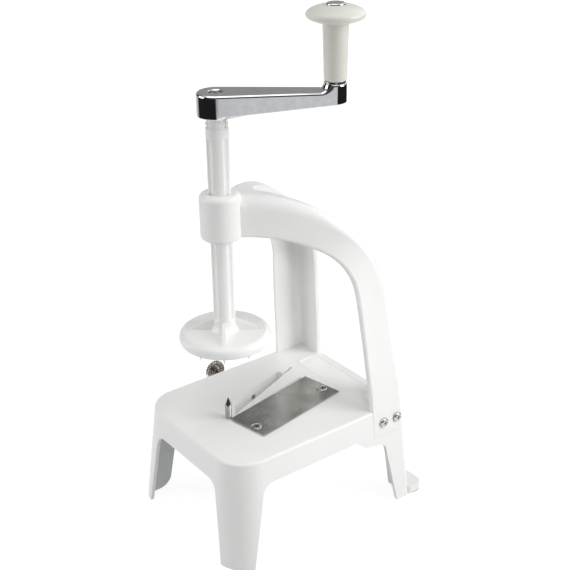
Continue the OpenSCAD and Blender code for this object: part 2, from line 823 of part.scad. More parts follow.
// Both arms as one surface: near the collar their back plates meet on the middle plane
module arch_arms() {
    size = len(arm_section(0));
    arm_rings = [for (i = [0:arch_rings - 1]) [for (j = [0:size - 1]) i * size + j]];
    foot = [for (j = [0:len(foot_corners) - 1]) arch_rings * size + j];
    right_points = concat([for (i = [0:arch_rings - 1]) each arm_ring(i)], foot_ring());
    joined_ring = min([for (i = [0:arch_rings - 1]) if (top_edge(i)[0] < gap_start_y) i]);
    joined = [for (i = [joined_ring:arch_rings - 1], j = inner_corners) arm_rings[i][j]];
    right_faces = concat(
        [back_corners, foot, [for (j = [size - 1:-1:0]) arm_rings[arch_rings - 1][j]]],
        wall_faces(foot, foot_corners, undef),
        [for (i = [0:arch_rings - 2])
            each wall_faces(arm_rings[i], arm_rings[i + 1], i < joined_ring ? undef : inner_corners[0])]
    );
    polyhedron(
        points = concat(right_points, [for (p = right_points) [-p[0], p[1], p[2]]]),
        faces = concat(right_faces, [for (face = right_faces)
            [for (j = [len(face) - 1:-1:0]) face[j] + (in_list(face[j], joined) ? 0 : len(right_points))]])
    );
}

module arch_frame() {
    color(white) difference() {
        union() {
            arch_arms();
            translate([0, 0, collar_bottom]) rotate_extrude() round_edged(collar_d / 2, collar_h, 3, 4);
        }
        translate([0, 0, collar_bottom - 20]) cylinder(h = collar_h + 40, r = shaft_r + bore_gap);
        translate([0, 0, ring_z - ring_t / 2 - seat_gap])
            cylinder(h = ring_t + 2 * seat_gap, r = ring_r + ring_t + run_gap);
        at_arch_screws() {
            cylinder(h = 5, d = screw_head_d + 0.8);
            translate([0, 0, -15]) cylinder(h = 20, r = screw_r + seat_gap);
        }
    }
}

module arch_screws() {
    color(steel) at_arch_screws() pan_screw(spot_x - seat_x + nut_t + 1.2);
}

module arch_nuts() {
    color(steel) at_arch_screws() translate([0, 0, seat_x - spot_x - nut_t]) nut();
}

module friction_ring() {
    color(rubber) translate([0, 0, ring_z]) rotate_extrude()
        translate([ring_r + ring_t / 2, 0]) circle(d = ring_t);
}

module spindle_flutes() {
    low_z = disc_top + gusset_h + 3;
    for (turn = [45:90:315]) {
        rotate([0, 0, crank_angle + turn]) translate([shaft_r - flute_depth + flute_r, 0, 0]) {
            translate([0, 0, low_z]) cylinder(h = flute_top - low_z, r = flute_r);
            translate([0, 0, flute_top]) sphere(r = flute_r);
            translate([0, 0, low_z]) sphere(r = flute_r);
        }
    }
}

module spindle_neck() {
    difference() {
        translate([0, 0, ledge_z - lap]) cylinder(h = neck_l + lap, d = neck_d);
        for (turn = [35, 145, 215, 325]) {
            rotate([0, 0, crank_angle + turn]) translate([neck_d / 2 - 0.8, -0.5, ledge_z])
                cube([2, 1, neck_l + 1]);
        }
    }
    for (turn = [0, 180]) {
        rotate([0, 0, crank_angle + turn]) translate([neck_d / 2 - 1, -1, ledge_z + 2]) cube([1.5, 2, 1.6]);
    }
    rotate([0, 0, crank_angle]) translate([-drive_w / 2, -drive_w / 2, hub_z - lap])
        cube([drive_w, drive_w, drive_l + lap]);
}

module spindle_pusher() {
    translate([0, 0, disc_z]) rotate_extrude() round_edged(disc_d / 2, disc_t, 5, 2.5);
    translate([0, 0, disc_top - skin]) cylinder(h = 4, r1 = shaft_r + 2.5, r2 = shaft_r);
    for (turn = [0:90:270]) {
        rotate([90, 0, crank_angle + turn]) translate([0, 0, -gusset_t / 2]) linear_extrude(gusset_t)
            polygon([
                [shaft_r - 3, disc_top - 1], [gusset_r, disc_top - 1], [gusset_r, disc_top],
                [shaft_r, disc_top + gusset_h], [shaft_r - 3, disc_top + gusset_h]
            ]);
    }
    for (turn = [0:360 / prong_count:359]) {
        rotate([0, 0, crank_angle + turn]) translate([prong_ring_d / 2, 0, disc_z - prong_l])
            cylinder(h = prong_l + 1, r1 = 0.6, r2 = 1.5);
    }
}

module spindle() {
    color(white) difference() {
        union() {
            difference() {
                translate([0, 0, disc_z + 1]) cylinder(h = ledge_z - disc_z - 1, r = shaft_r);
                spindle_flutes();
            }
            spindle_neck();
            spindle_pusher();
        }
        translate([0, 0, disc_z - 1]) cylinder(h = pin_socket_depth + 1, r = pin_d / 2 + 0.6);
        translate([0, 0, drive_top - spindle_insert_l - 2])
            cylinder(h = spindle_insert_l + 3, d = spindle_insert_d);
    }
}

module spindle_insert() {
    color(brass) translate([0, 0, drive_top - spindle_insert_l]) difference() {
        cylinder(h = spindle_insert_l, d = spindle_insert_d);
        translate([0, 0, -1]) cylinder(h = spindle_insert_l + 2, r = screw_r + run_gap);
    }
}

// The crank as seen from above: two round ends joined by their tangents, just inside the hub
module crank_outline() {
    root_r = hub_d / 2 - 0.4;
    end_r = crank_end_d / 2;
    lean = asin((root_r - end_r) / crank_throw);
    circle(r = root_r);
    translate([crank_throw, 0]) circle(r = end_r);
    polygon([for (end = [[0, root_r, 1], [crank_throw, end_r, 1], [crank_throw, end_r, -1], [0, root_r, -1]])
        [end[0] + end[1] * sin(lean), end[2] * end[1] * cos(lean)]]);
}

// The arm's height from the side, and the boss that flows out of it under the grip
module crank_sides() {
    end_x = crank_throw + crank_end_d;
    boss_r = crank_end_d / 2 + 0.2;
    rotate([90, 0, 0]) translate([0, 0, -hub_d]) linear_extrude(2 * hub_d) polygon([
        [0, hub_z + 2], [hub_d / 2 - 2, hub_z + 2], [end_x, hub_top - crank_end_h],
        [end_x, hub_top], [0, hub_top]
    ]);
    translate([crank_throw, 0, hub_top]) rotate_extrude() difference() {
        translate([0, -1]) square([boss_r + boss_fillet_r, boss_h + 1]);
        translate([boss_r + boss_fillet_r, boss_fillet_r]) circle(r = boss_fillet_r);
        translate([boss_r, boss_fillet_r]) square([boss_fillet_r + 1, boss_h]);
    }
}

module crank_arm() {
    color(chrome) rotate([0, 0, crank_angle]) difference() {
        union() {
            intersection() {
                translate([0, 0, hub_z]) linear_extrude(hub_h + boss_h) crank_outline();
                crank_sides();
            }
            translate([0, 0, hub_z]) rotate_extrude() round_edged(hub_d / 2, hub_h, 0.8, 2.5);
        }
        translate([0, 0, hub_top - hub_sink]) cylinder(h = hub_sink + 1, d = hub_sink_d);
        translate([0, 0, hub_z]) cylinder(h = hub_h + 1, r = screw_r + seat_gap);
        translate([-drive_w / 2 - seat_gap, -drive_w / 2 - seat_gap, hub_z - 1])
            cube([drive_w + 2 * seat_gap, drive_w + 2 * seat_gap, drive_l + 1.5]);
        translate([crank_throw, 0, hub_z]) cylinder(h = hub_h + boss_h + 1, d = axle_thread_d + 2 * run_gap);
    }
}

module crank_washer() {
    color(steel) translate([0, 0, hub_top - hub_sink])
        washer(hub_sink_d / 2 - 0.3, screw_r + seat_gap, washer_t);
}

module crank_screw() {
    color(steel) translate([0, 0, hub_top - hub_sink + washer_t]) pan_screw(crank_screw_l);
}

module grip_washer() {
    color(steel) at_grip() translate([0, 0, boss_top])
        washer(stem_low_d / 2 - 0.5, axle_d / 2 + run_gap, washer_t);
}

module grip_axle() {
    color(chrome) at_grip() {
        translate([0, 0, boss_top - boss_h - crank_end_h + 0.6])
            cylinder(h = boss_h + crank_end_h, d = axle_thread_d);
        translate([0, 0, boss_top]) cylinder(h = head_z - boss_top + lap, d = axle_d);
        translate([0, 0, head_z]) rotate_extrude() round_edged(axle_head_d / 2, axle_head_t, 1, 0.3);
    }
}

module grip() {
    stem_r = stem_top_d / 2;
    knob_z = grip_top - knob_h * 0.54;
    start = -acos(stem_r / (knob_d / 2));
    color(ivory) at_grip() difference() {
        rotate_extrude() polygon(concat(
            [[0, grip_z], [stem_low_d / 2 - 0.8, grip_z], [stem_low_d / 2, grip_z + 0.8]],
            [for (step = [0:knob_steps])
                let(turn = start + (90 - start) * step / knob_steps)
                [knob_d / 2 * cos(turn), knob_z + knob_h * (turn < 0 ? 0.46 : 0.54) * sin(turn)]]
        ));
        translate([0, 0, grip_z - 1]) cylinder(h = grip_l + 2, r = axle_d / 2 + run_gap);
        translate([0, 0, head_z - 0.3]) cylinder(h = axle_head_t + 2, d = axle_head_d + 0.6);
    }
}

base();
rear_pads();
blade_plate();
blade_screws();
blade_nuts();
center_pin();
pin_washer();
pin_nut();
thumb_insert();
thumbscrew();
arch_frame();
arch_screws();
arch_nuts();
friction_ring();
spindle();
spindle_insert();
crank_arm();
crank_washer();
crank_screw();
grip_washer();
grip_axle();
grip();
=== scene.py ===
# %% [markdown]
# # Hand cranked spiral slicer
#
# The tool is a white plastic stool with a steel blade on its deck, an arch with a collar, and a spindle
# with a crank that presses a vegetable on the blade and turns it.
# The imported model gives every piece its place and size. This script rounds the moulded edges, models the
# pieces whose look depends on soft curves, and gives each piece a procedural material.
# All lengths are in metres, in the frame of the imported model: the origin is where the centre pin meets
# the deck, X points to the right of the machine, Y to its back and Z up. Shapes are drawn in millimetres
# and scaled once, because that is how such a tool is dimensioned.

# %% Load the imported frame
import math

import bmesh
import bpy
from mathutils import Matrix, Vector


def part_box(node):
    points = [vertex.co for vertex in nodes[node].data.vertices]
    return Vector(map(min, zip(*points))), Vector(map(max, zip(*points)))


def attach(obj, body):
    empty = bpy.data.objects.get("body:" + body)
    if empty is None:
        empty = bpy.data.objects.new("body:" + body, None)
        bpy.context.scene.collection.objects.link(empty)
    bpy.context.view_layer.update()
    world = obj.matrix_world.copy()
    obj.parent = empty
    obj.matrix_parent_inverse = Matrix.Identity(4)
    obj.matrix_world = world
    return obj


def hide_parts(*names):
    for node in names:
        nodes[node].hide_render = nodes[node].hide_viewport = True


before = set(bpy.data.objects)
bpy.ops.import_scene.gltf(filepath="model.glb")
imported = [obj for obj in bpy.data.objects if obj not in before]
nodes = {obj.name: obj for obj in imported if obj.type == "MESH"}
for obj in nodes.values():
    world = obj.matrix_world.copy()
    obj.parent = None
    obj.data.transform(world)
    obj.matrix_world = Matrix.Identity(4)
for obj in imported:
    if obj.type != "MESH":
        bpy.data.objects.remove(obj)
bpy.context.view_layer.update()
MM = 0.001

# %% [markdown]
# ## Camera
# A product photo is taken from a little above with a long lens, so that upright edges stay nearly
# parallel. A camera can be aimed by a constraint, but this one has a measured place and a slight roll, so
# its axes are worked out from three angles and written into its matrix. The place was found from the
# corners of the deck, the feet and the axis of the spindle.

# %% Camera
AZIMUTH = math.radians(53.46)
ELEVATION = math.radians(25.4)
ROLL = math.radians(-0.88)
CAMERA_PLACE = (0.6304, -0.4101, 0.4713)
LENS_MM = 70.54
SENSOR_MM = 36

forward = Vector((-math.sin(AZIMUTH) * math.cos(ELEVATION), math.cos(AZIMUTH) * math.cos(ELEVATION),
                  -math.sin(ELEVATION)))
right = Vector((math.cos(AZIMUTH), math.sin(AZIMUTH), 0))
up = right.cross(forward)
rolled_right = right * math.cos(ROLL) + up * math.sin(ROLL)
rolled_up = up * math.cos(ROLL) - right * math.sin(ROLL)
camera = bpy.data.objects.new("camera", bpy.data.cameras.new("camera"))
bpy.context.scene.collection.objects.link(camera)
camera.matrix_world = Matrix((
    (rolled_right.x, rolled_up.x, -forward.x, CAMERA_PLACE[0]),
    (rolled_right.y, rolled_up.y, -forward.y, CAMERA_PLACE[1]),
    (rolled_right.z, rolled_up.z, -forward.z, CAMERA_PLACE[2]),
    (0, 0, 0, 1)))
camera.data.lens = LENS_MM
camera.data.sensor_width = SENSOR_MM
camera.data.clip_start = 0.01
bpy.context.scene.camera = camera
bpy.context.scene.view_settings.view_transform = "Standard"
print("camera at", list(camera.location))

# %% [markdown]
# ## Colour and node helpers
# A colour picked on a screen is an sRGB code, and a shader counts in linear light, so one function turns
# the one into the other. A second function adds a node, sets its properties and fills or links its
# inputs, which keeps a material readable as a short list. Patterns are sized in millimetres, from what
# the real surface measures, and a noise takes the inverse of that size as its scale.


# %% Colour
def linear(code):
    """A colour such as F2F2F0 as linear light, and opaque."""
    parts = [int(code[i:i + 2], 16) / 255 for i in (0, 2, 4)]
    return [c / 12.92 if c <= 0.04045 else ((c + 0.055) / 1.055) ** 2.4 for c in parts] + [1.0]


print("mid grey as linear light:", round(linear("808080")[0], 3))


# %% Nodes
def add(tree, kind, inputs=None, **settings):
    """Adds a node. An input is a value, or another node's output to link."""
    node = tree.nodes.new(kind)
    for name, value in settings.items():
        setattr(node, name, value)
    for name, value in (inputs or {}).items():
        if isinstance(value, bpy.types.NodeSocket):
            tree.links.new(value, node.inputs[name])
        else:
            node.inputs[name].default_value = value
    return node


def new_material(name, **surface):
    """An empty material with one shader, and the object's own coordinates in metres."""
    material = bpy.data.materials.new(name)
    material.use_nodes = True
    tree = material.node_tree
    shader = tree.nodes["Principled BSDF"]
    for key, value in surface.items():
        shader.inputs[key].default_value = value
    place = add(tree, "ShaderNodeTexCoord").outputs["Object"]
    return material, tree, shader, place


def per_metre(size_mm):
    """The scale of a noise whose grains are this many millimetres across."""
    return 1 / (size_mm * MM)


print("scale of a noise with grains of 5 mm:", per_metre(5))

# %% [markdown]
# ## Moulded plastics
# The base, the arch and the spindle are injection moulded ABS, and the grip is the same in a warmer white.
# The steel mould was spark eroded and lightly polished, so the skin is satin and has a very fine grain. A
# flat colour would look like paint, and a picture of plastic would show its repeats. So three noises work
# together: a wide mottle from the flow of the melt, a fine grain that tints and dents the skin, and a
# polish that varies the gloss. One function makes all the plastics, because they differ only in colour and
# gloss.


# %% Moulded plastics
def moulded(name, light, dark, rough):
    """ABS from a steel mould: a faint mottle, a satin skin and a fine grain. Its IOR is near 1.53."""
    material, tree, shader, place = new_material(name, IOR=1.53)
    # Flow marks of the melt are 10 to 20 mm wide, and strokes of the polish about 5 mm.
    mottle = add(tree, "ShaderNodeTexNoise", {"Vector": place, "Scale": per_metre(16), "Detail": 3})
    polish = add(tree, "ShaderNodeTexNoise", {"Vector": place, "Scale": per_metre(5), "Detail": 4})
    # The real grain is about 0.2 mm. It is drawn at 1.3 mm, because it would be too fine to show.
    grain = add(tree, "ShaderNodeTexNoise", {"Vector": place, "Scale": per_metre(1.3), "Detail": 2})
    tone = add(tree, "ShaderNodeMix", {"Factor": 0.65, "A": mottle.outputs["Fac"],
                                       "B": grain.outputs["Fac"]})
    colour = add(tree, "ShaderNodeMix", {"Factor": tone.outputs["Result"], "A": linear(light),
                                         "B": linear(dark)}, data_type="RGBA")
    gloss = add(tree, "ShaderNodeMapRange", {"Value": polish.outputs["Fac"], "From Min": 0.3,
                                             "From Max": 0.7, "To Min": rough - 0.06,
                                             "To Max": rough + 0.06})
    skin = add(tree, "ShaderNodeBump", {"Height": grain.outputs["Fac"], "Strength": 0.8,
                                        "Distance": 0.045 * MM})
    tree.links.new(colour.outputs["Result"], shader.inputs["Base Color"])
    tree.links.new(gloss.outputs["Result"], shader.inputs["Roughness"])
    tree.links.new(skin.outputs["Normal"], shader.inputs["Normal"])
    return material


# White ABS from a satin mould: a soft, broad highlight along every edge, and faces that never look flat.
white_abs = moulded("moulded_white_ABS", "F8F8F7", "EDEEEC", 0.38)
# The grip's ABS is yellower and a little glossier, so it stands apart from the white arch.
warm_abs = moulded("moulded_warm_white_ABS", "E8E7DF", "DEDDD4", 0.34)
# The inner side of a moulding isn't polished, so it is matt. Its grey colour is painted shade, for the shade
# that falls inside the base.
painted_shade_abs = moulded("moulded_white_ABS_painted_shade", "D0D4D4", "C2C6C6", 0.6)
print("plastics:", white_abs.name, warm_abs.name, painted_shade_abs.name)

# %% [markdown]
# ## Metals
# The tool shows a chrome plated crank, a brushed blade, plated screws, a drawn pin, a nickel plated
# thumbscrew and brass inserts. All have a grain that the last tool or the plating left. An anisotropic
# shader could draw the brushing, but the grain itself would be missing up close. A noise that is squeezed
# into lines gives both, so one noise tints the metal, dents it and varies its gloss, and a wider one adds
# soft clouds.


# %% Metal with a grain
def metal(name, light, dark, rough, grain_mm, depth_mm, stretch=(1, 1, 1), turn=0.0, share=1.0, cloud_mm=9):
    """A metal, with the default IOR. Stretch squeezes its grain into lines, and turn swings them round Z.
    Share says how much of the tone follows the grain. The rest follows soft clouds."""
    material, tree, shader, place = new_material(name, Metallic=1.0)
    swung = add(tree, "ShaderNodeMapping", {"Vector": place, "Rotation": (0, 0, -turn)})
    along = add(tree, "ShaderNodeMapping", {"Vector": swung.outputs["Vector"], "Scale": stretch})
    grain = add(tree, "ShaderNodeTexNoise", {"Vector": along.outputs["Vector"], "Scale": per_metre(grain_mm),
                                             "Detail": 4})
    cloud = add(tree, "ShaderNodeTexNoise", {"Vector": place, "Scale": per_metre(cloud_mm), "Detail": 2})
    # On the blade, the share of the tone that follows the clouds is painted reflection.
    mixed = add(tree, "ShaderNodeMix", {"Factor": share, "A": cloud.outputs["Fac"],
                                        "B": grain.outputs["Fac"]})
    tone = add(tree, "ShaderNodeMapRange", {"Value": mixed.outputs["Result"], "From Min": 0.3,
                                            "From Max": 0.7})
    colour = add(tree, "ShaderNodeMix", {"Factor": tone.outputs["Result"], "A": linear(dark),
                                         "B": linear(light)}, data_type="RGBA")
    wear = add(tree, "ShaderNodeMath", {0: grain.outputs["Fac"], 1: cloud.outputs["Fac"]},
               operation="MULTIPLY")
    gloss = add(tree, "ShaderNodeMapRange", {"Value": wear.outputs["Value"], "From Min": 0.1,
                                             "From Max": 0.4, "To Min": rough * 0.75,
                                             "To Max": rough * 1.3})
    lines = add(tree, "ShaderNodeBump", {"Height": grain.outputs["Fac"], "Strength": 0.6,
                                         "Distance": depth_mm * MM})
    tree.links.new(colour.outputs["Result"], shader.inputs["Base Color"])
    tree.links.new(gloss.outputs["Result"], shader.inputs["Roughness"])
    tree.links.new(lines.outputs["Normal"], shader.inputs["Normal"])
    return material


# Chrome over polished zinc: a mirror with a slight waviness of about 4 mm from the casting.
chrome = metal("chrome_plated_zinc", "DEDFE2", "D2D3D7", 0.09, grain_mm=4.0, depth_mm=0.02)
# Cold formed and nickel plated screws: bright, with a bloom that softens the highlight. The bloom's real
# crystals can't be seen, so it is drawn in patches of 0.6 mm.
screw_steel = metal("nickel_plated_screw_steel", "D6D5D2", "B4B3B0", 0.18, grain_mm=0.6, depth_mm=0.01)
# A turned screw under worn nickel: glossy, with darker patches of 1.6 mm where the plating is thin.
dark_nickel = metal("nickel_plated_thumbscrew", "C4C0B9", "5E5B57", 0.11, grain_mm=1.6, depth_mm=0.01)
# Turned brass: a warm ring where an insert's end shows. Its tool marks of 0.1 mm are drawn at 0.5 mm, so
# that they show.
brass = metal("turned_brass_insert", "D9B566", "B8924A", 0.26, grain_mm=0.5, depth_mm=0.01)
print("metals:", chrome.name, screw_steel.name, dark_nickel.name, brass.name)

# %% Metals with lines
BLADE_ANGLE = math.radians(10.5)
BRUSHED = (1, 0.012, 1)
DIE_AND_REFLECTION_BANDS = (1, 1, 0.02)

# Stainless sheet brushed along the blade: streaks, and clouds of 26 mm in its tone that are painted
# reflection, lighter and darker blotches of mirrored light.
# Real brush lines are under 0.1 mm wide. They are drawn at 0.35 mm so that they show.
blade_steel = metal("brushed_stainless_blade_painted_reflection", "D2D2CE", "878783", 0.24, grain_mm=0.35, depth_mm=0.012,
                    stretch=BRUSHED, turn=BLADE_ANGLE, share=0.35, cloud_mm=26)
# A stainless rod drawn through a die has fine die lines along it. The dark and bright bands in its colour
# are painted reflection, streaks of the dark and bright room. Real die lines are finer than 0.1 mm. They are
# drawn 2 mm wide so that the slim pin shows one or two of them.
pin_steel_painted_reflection = metal("drawn_stainless_pin_painted_reflection", "E2E2E2", "3E3E3F", 0.12, grain_mm=2.0, depth_mm=0.01,
                  stretch=DIE_AND_REFLECTION_BANDS)
print("metals with lines:", blade_steel.name, pin_steel_painted_reflection.name)

# %% [markdown]
# ## Rubber
# The pads under the rear feet and the ring in the collar are black rubber, pressed in a blasted mould. It
# is hardly glossy, and its skin holds dust, so it is never quite black. A plain dark colour would look
# like a hole at the floor. So one noise spreads the dust in colour and gloss, and a finer one gives the
# pits of the mould.

# %% Rubber
# Pressed rubber: a dull, soft sheen. Dust lies in spots of 3 mm. The pits are really about 0.1 mm, and are
# drawn at 0.4 mm so that they show.
rubber, tree, shader, place = new_material("pressed_black_rubber", IOR=1.5)
dust = add(tree, "ShaderNodeTexNoise", {"Vector": place, "Scale": per_metre(3), "Detail": 4})
pits = add(tree, "ShaderNodeTexNoise", {"Vector": place, "Scale": per_metre(0.4)})
tone = add(tree, "ShaderNodeMix", {"Factor": dust.outputs["Fac"], "A": linear("1C1C1D"),
                                   "B": linear("2B2B2B")}, data_type="RGBA")
dull = add(tree, "ShaderNodeMapRange", {"Value": dust.outputs["Fac"], "To Min": 0.65, "To Max": 0.85})
matt = add(tree, "ShaderNodeBump", {"Height": pits.outputs["Fac"], "Strength": 0.5, "Distance": 0.03 * MM})
tree.links.new(tone.outputs["Result"], shader.inputs["Base Color"])
tree.links.new(dull.outputs["Result"], shader.inputs["Roughness"])
tree.links.new(matt.outputs["Normal"], shader.inputs["Normal"])
print("rubber:", rubber.name)

# %% [markdown]
# ## Curves of the arch
# The arch is one white moulding: two arms of L-shaped section rise from the deck, bend forward and meet in
# the collar that guides the spindle. The solid sweeps the same section in few steps, and rounding its
# facets would leave ripples. So the arch is swept again here, with the same curves and many more steps. An
# edge of an arm is an arc that starts level at the collar, a tighter arc that turns it down, and a
# straight leg to the deck. The lower and the upper edge have radii of their own.

# %% Arch curves
ARM_ANGLE = math.radians(30.8)
LEG_TURN = math.radians(85.7)
ARM_START = 8.7
ARM_END = -4.0
# Radius of the arm and of the bend, angle where they meet, height at the collar, place of the foot
LOW_EDGE = (125.0, 53.5, math.radians(29.7), 155.0, 93.5)
TOP_EDGE = (140.0, 100.0, math.radians(38.4), 186.7, 125.0)
# Steps of the sweep along the leg, the bend and the arm
LEG, BEND, ARM = 12, 28, 36


def edge_point(step, edge):
    """A point of the lower or upper edge of an arm, as Y and Z in millimetres."""
    arm_r, bend_r, joint, height, foot_y = edge

    def level(turn):
        return arm_r * math.sin(turn), height - arm_r * (1 - math.cos(turn))

    def bend(turn):
        at = level(joint)
        return (at[0] + bend_r * (math.sin(turn) - math.sin(joint)),
                at[1] + bend_r * (math.cos(turn) - math.cos(joint)))

    if step > LEG + BEND + ARM:
        along = (ARM_END, height)
    elif step > LEG + BEND:
        along = level(joint * (LEG + BEND + ARM - step) / ARM)
    else:
        along = bend(LEG_TURN - (LEG_TURN - joint) * max(0, step - LEG) / BEND)
    y, z = ARM_START + math.cos(ARM_ANGLE) * along[0], along[1]
    if step < LEG:
        y, z = foot_y + (y - foot_y) * step / LEG, z * step / LEG
    return Vector((y, z))


print("upper edge at the collar:", [round(part, 1) for part in edge_point(LEG + BEND + ARM, TOP_EDGE)])

# %% Outer side of the arch
HALF_W = 65
DECK_H = 88
LEG_SPLAY = 7
COLLAR_SIDE = 12.5
FLARE = 0.15
FLARE_TOP = 100
BLEND = 8


def outer_x(y, z):
    """The outer side surface: the leaning leg plane blended into the slanting arm plane."""
    leg = HALF_W - LEG_SPLAY / DECK_H * z
    arm = COLLAR_SIDE + math.tan(ARM_ANGLE) * (y - ARM_START) + FLARE * max(0, FLARE_TOP - z)
    return min(leg, arm) - max(BLEND - abs(leg - arm), 0) ** 2 / (4 * BLEND)


print("outer side at the deck:", round(outer_x(TOP_EDGE[4], 0), 1), "mm from the middle")

# %% [markdown]
# ## Section of the arch
# One section is a side wall with a round front rim and a back plate that turns inward from it. The back
# plates of the two arms leave a gap between them, which closes near the collar. The corner between wall
# and plate is tight at the foot and wide at the collar. A bevelled curve could sweep a section, but it
# couldn't change it on the way. So the section is written as a chain of arcs, and each step of the sweep
# only changes their radii and places.


# %% Arcs
def arc(centre, radius, start, end, steps):
    """Points on an arc, angles in degrees."""
    turns = [math.radians(start + (end - start) * k / steps) for k in range(steps + 1)]
    return [(centre[0] + radius * math.cos(t), centre[1] + radius * math.sin(t)) for t in turns]


print("a quarter arc of 10 mm:", [(round(x, 1), round(y, 1)) for x, y in arc((0, 0), 10, 0, 90, 2)])

# %% Gap between the arms
JOIN_Y = 30
GAP_FROM = 20.8
GAP_SLOPE = 0.52
GAP_EASE = 6


def arm_gap(y):
    """Half the gap between the arms' back plates."""
    if y < JOIN_Y:
        return 0
    return GAP_SLOPE * (y - GAP_FROM) * min(1, math.sqrt((y - JOIN_Y) / GAP_EASE))


print("half gap 60 mm behind the axis:", round(arm_gap(60), 1), "mm")

# %% Arch section
SIDE_T = 4.0
BACK_T = 5.0
BACK_W = 26.0
FOOT_RIM, LEG_RIM, RIM_GROWS = 0.8, 2.5, 2
FOOT_EDGE_R, LEG_EDGE_R, EDGE_GROWTH, EDGE_ROOM = 3, 7, 5.5, 3
LIP, LIP_SHARE = 1.2, 0.4
RIM_STEPS, EDGE_STEPS, LIP_STEPS, FILLET_STEPS, TIP_STEPS = 4, 10, 3, 7, 2
BACK_START = RIM_STEPS + EDGE_STEPS + 2
BACK_END = BACK_START + 2 * (LIP_STEPS + 1)


def arm_ring(step):
    """One section of the right arm, as points in millimetres, from the front rim round the back plate."""
    low, top = edge_point(step, LOW_EDGE), edge_point(step, TOP_EDGE)
    depth = (top - low).length
    back = (top - low) / depth
    gap = arm_gap(top.x)
    x_top = outer_x(*top)
    width = BACK_W if step <= LEG + BEND else min(BACK_W, x_top - gap)
    share = max(0, step - LEG) / (BEND + ARM + 1)
    if step < LEG:
        edge_r = FOOT_EDGE_R + (LEG_EDGE_R - FOOT_EDGE_R) * step / LEG
    else:
        edge_r = min(width - EDGE_ROOM, LEG_EDGE_R + EDGE_GROWTH * share)
    inner_r = min(max(1, edge_r - SIDE_T + 1), width - SIDE_T - 1)
    rim = FOOT_RIM + (LEG_RIM - FOOT_RIM) * min(1, step / RIM_GROWS)
    lip = min(LIP, LIP_SHARE * gap)
    section = arc((rim, rim), rim, 270, 180, RIM_STEPS)
    section += arc((edge_r, depth - edge_r), edge_r, 180, 90, EDGE_STEPS)
    section += arc((width - lip, depth - lip), lip, 90, 0, LIP_STEPS)
    section += arc((width - lip, depth - BACK_T + lip), lip, 0, -90, LIP_STEPS)
    section += arc((SIDE_T + inner_r, depth - BACK_T - inner_r), inner_r, 90, 180, FILLET_STEPS)
    section += arc((SIDE_T - FOOT_RIM, FOOT_RIM), FOOT_RIM, 0, -90, TIP_STEPS)
    ring = []
    for j, (inward, along) in enumerate(section):
        at = low + back * along
        side = x_top if BACK_START <= j < BACK_END else outer_x(*at)
        ring.append((side - inward, at.x, at.y))
    return ring


print("arch section:", len(arm_ring(0)), "points")

# %% [markdown]
# ## Arms of the arch
# The two arms mirror each other, and below the deck each ends in a flat foot that is screwed to the base.
# A mirror modifier would need a clean cut in the middle, and these arms meet only near the collar. So both
# are lofted from the same rings, with the sign of X changed, and where they meet the walls between them
# are left open, which makes the two halves one skin. Points that coincide are merged at the end.


# %% Skins between rings
MERGE_MM = 0.004


def new_piece(name, shape):
    """A new object from a bmesh in millimetres."""
    bmesh.ops.remove_doubles(shape, verts=shape.verts, dist=MERGE_MM)
    bmesh.ops.scale(shape, vec=(MM, MM, MM), verts=shape.verts)
    bmesh.ops.recalc_face_normals(shape, faces=shape.faces)
    mesh = bpy.data.meshes.new(name)
    shape.to_mesh(mesh)
    shape.free()
    piece = bpy.data.objects.new(name, mesh)
    bpy.context.scene.collection.objects.link(piece)
    return piece


def loft(shape, rings, left_open=lambda ring, corner: False):
    """Walls between rings of points, all of the same length."""
    made = [[shape.verts.new(point) for point in ring] for ring in rings]
    size = len(made[0])
    for k in range(len(made) - 1):
        for j in range(size):
            if not left_open(k, j):
                n = (j + 1) % size
                shape.faces.new((made[k][j], made[k + 1][j], made[k + 1][n], made[k][n]))
    return made


print("pieces are drawn in millimetres and scaled by", MM)

# %% Arms
STEPS = LEG + BEND + ARM + 2
INNER_WALL = BACK_START + LIP_STEPS
FOOT_DROP = 23
SIDE_SPLAY = 10
FOOT = [j for j in range(len(arm_ring(0))) if j < BACK_START or j >= BACK_END + FILLET_STEPS]

joined = [edge_point(step, TOP_EDGE).x < JOIN_Y for step in range(STEPS)]
arms = bmesh.new()
for side in (1, -1):
    rings = [[(side * x, y, z) for x, y, z in arm_ring(step)] for step in range(STEPS)]
    made = loft(arms, rings, lambda k, j: j == INNER_WALL and joined[k])
    drop = Vector((side * FOOT_DROP * SIDE_SPLAY / DECK_H, 0, -FOOT_DROP))
    foot = [arms.verts.new(made[0][j].co + drop) for j in FOOT]
    for k in range(len(FOOT)):
        n = (k + 1) % len(FOOT)
        arms.faces.new((foot[k], made[0][FOOT[k]], made[0][FOOT[n]], foot[n]))
    arms.faces.new(foot)
    arms.faces.new([made[0][j] for j in range(BACK_START - 1, BACK_END + FILLET_STEPS + 1)])
    arms.faces.new(made[-1])
arch = new_piece("arch_moulding", arms)
print("arms:", len(arch.data.polygons), "faces")

# %% [markdown]
# ## Collar, bore and spot faces
# The collar is a thick round sleeve with soft rims, the spindle's bore runs through it, and the feet have
# flat spots under the screw heads. The sweep can't make these. They could be modelled into the skin point
# by point, but boolean modifiers do it as a toolmaker would: a turned body is joined on, and others are
# cut away. The modifiers are applied at once, so that the mesh that is seen is the mesh that is kept.


# %% Turned bodies, joined and cut
def turned(shape, profile, steps=96, place=Matrix.Identity(4), wave=lambda r, z, turn: r):
    """A closed body of revolution about Z, from radius and height pairs. Wave may change the radius."""
    turns = [2 * math.pi * k / steps for k in range(steps)]
    rings = []
    for r, z in profile:
        ring = [(wave(r, z, t), t) for t in turns]
        rings.append([place @ Vector((reach * math.cos(t), reach * math.sin(t), z)) for reach, t in ring])
    made = loft(shape, rings)
    shape.faces.new(made[0])
    shape.faces.new(made[-1])


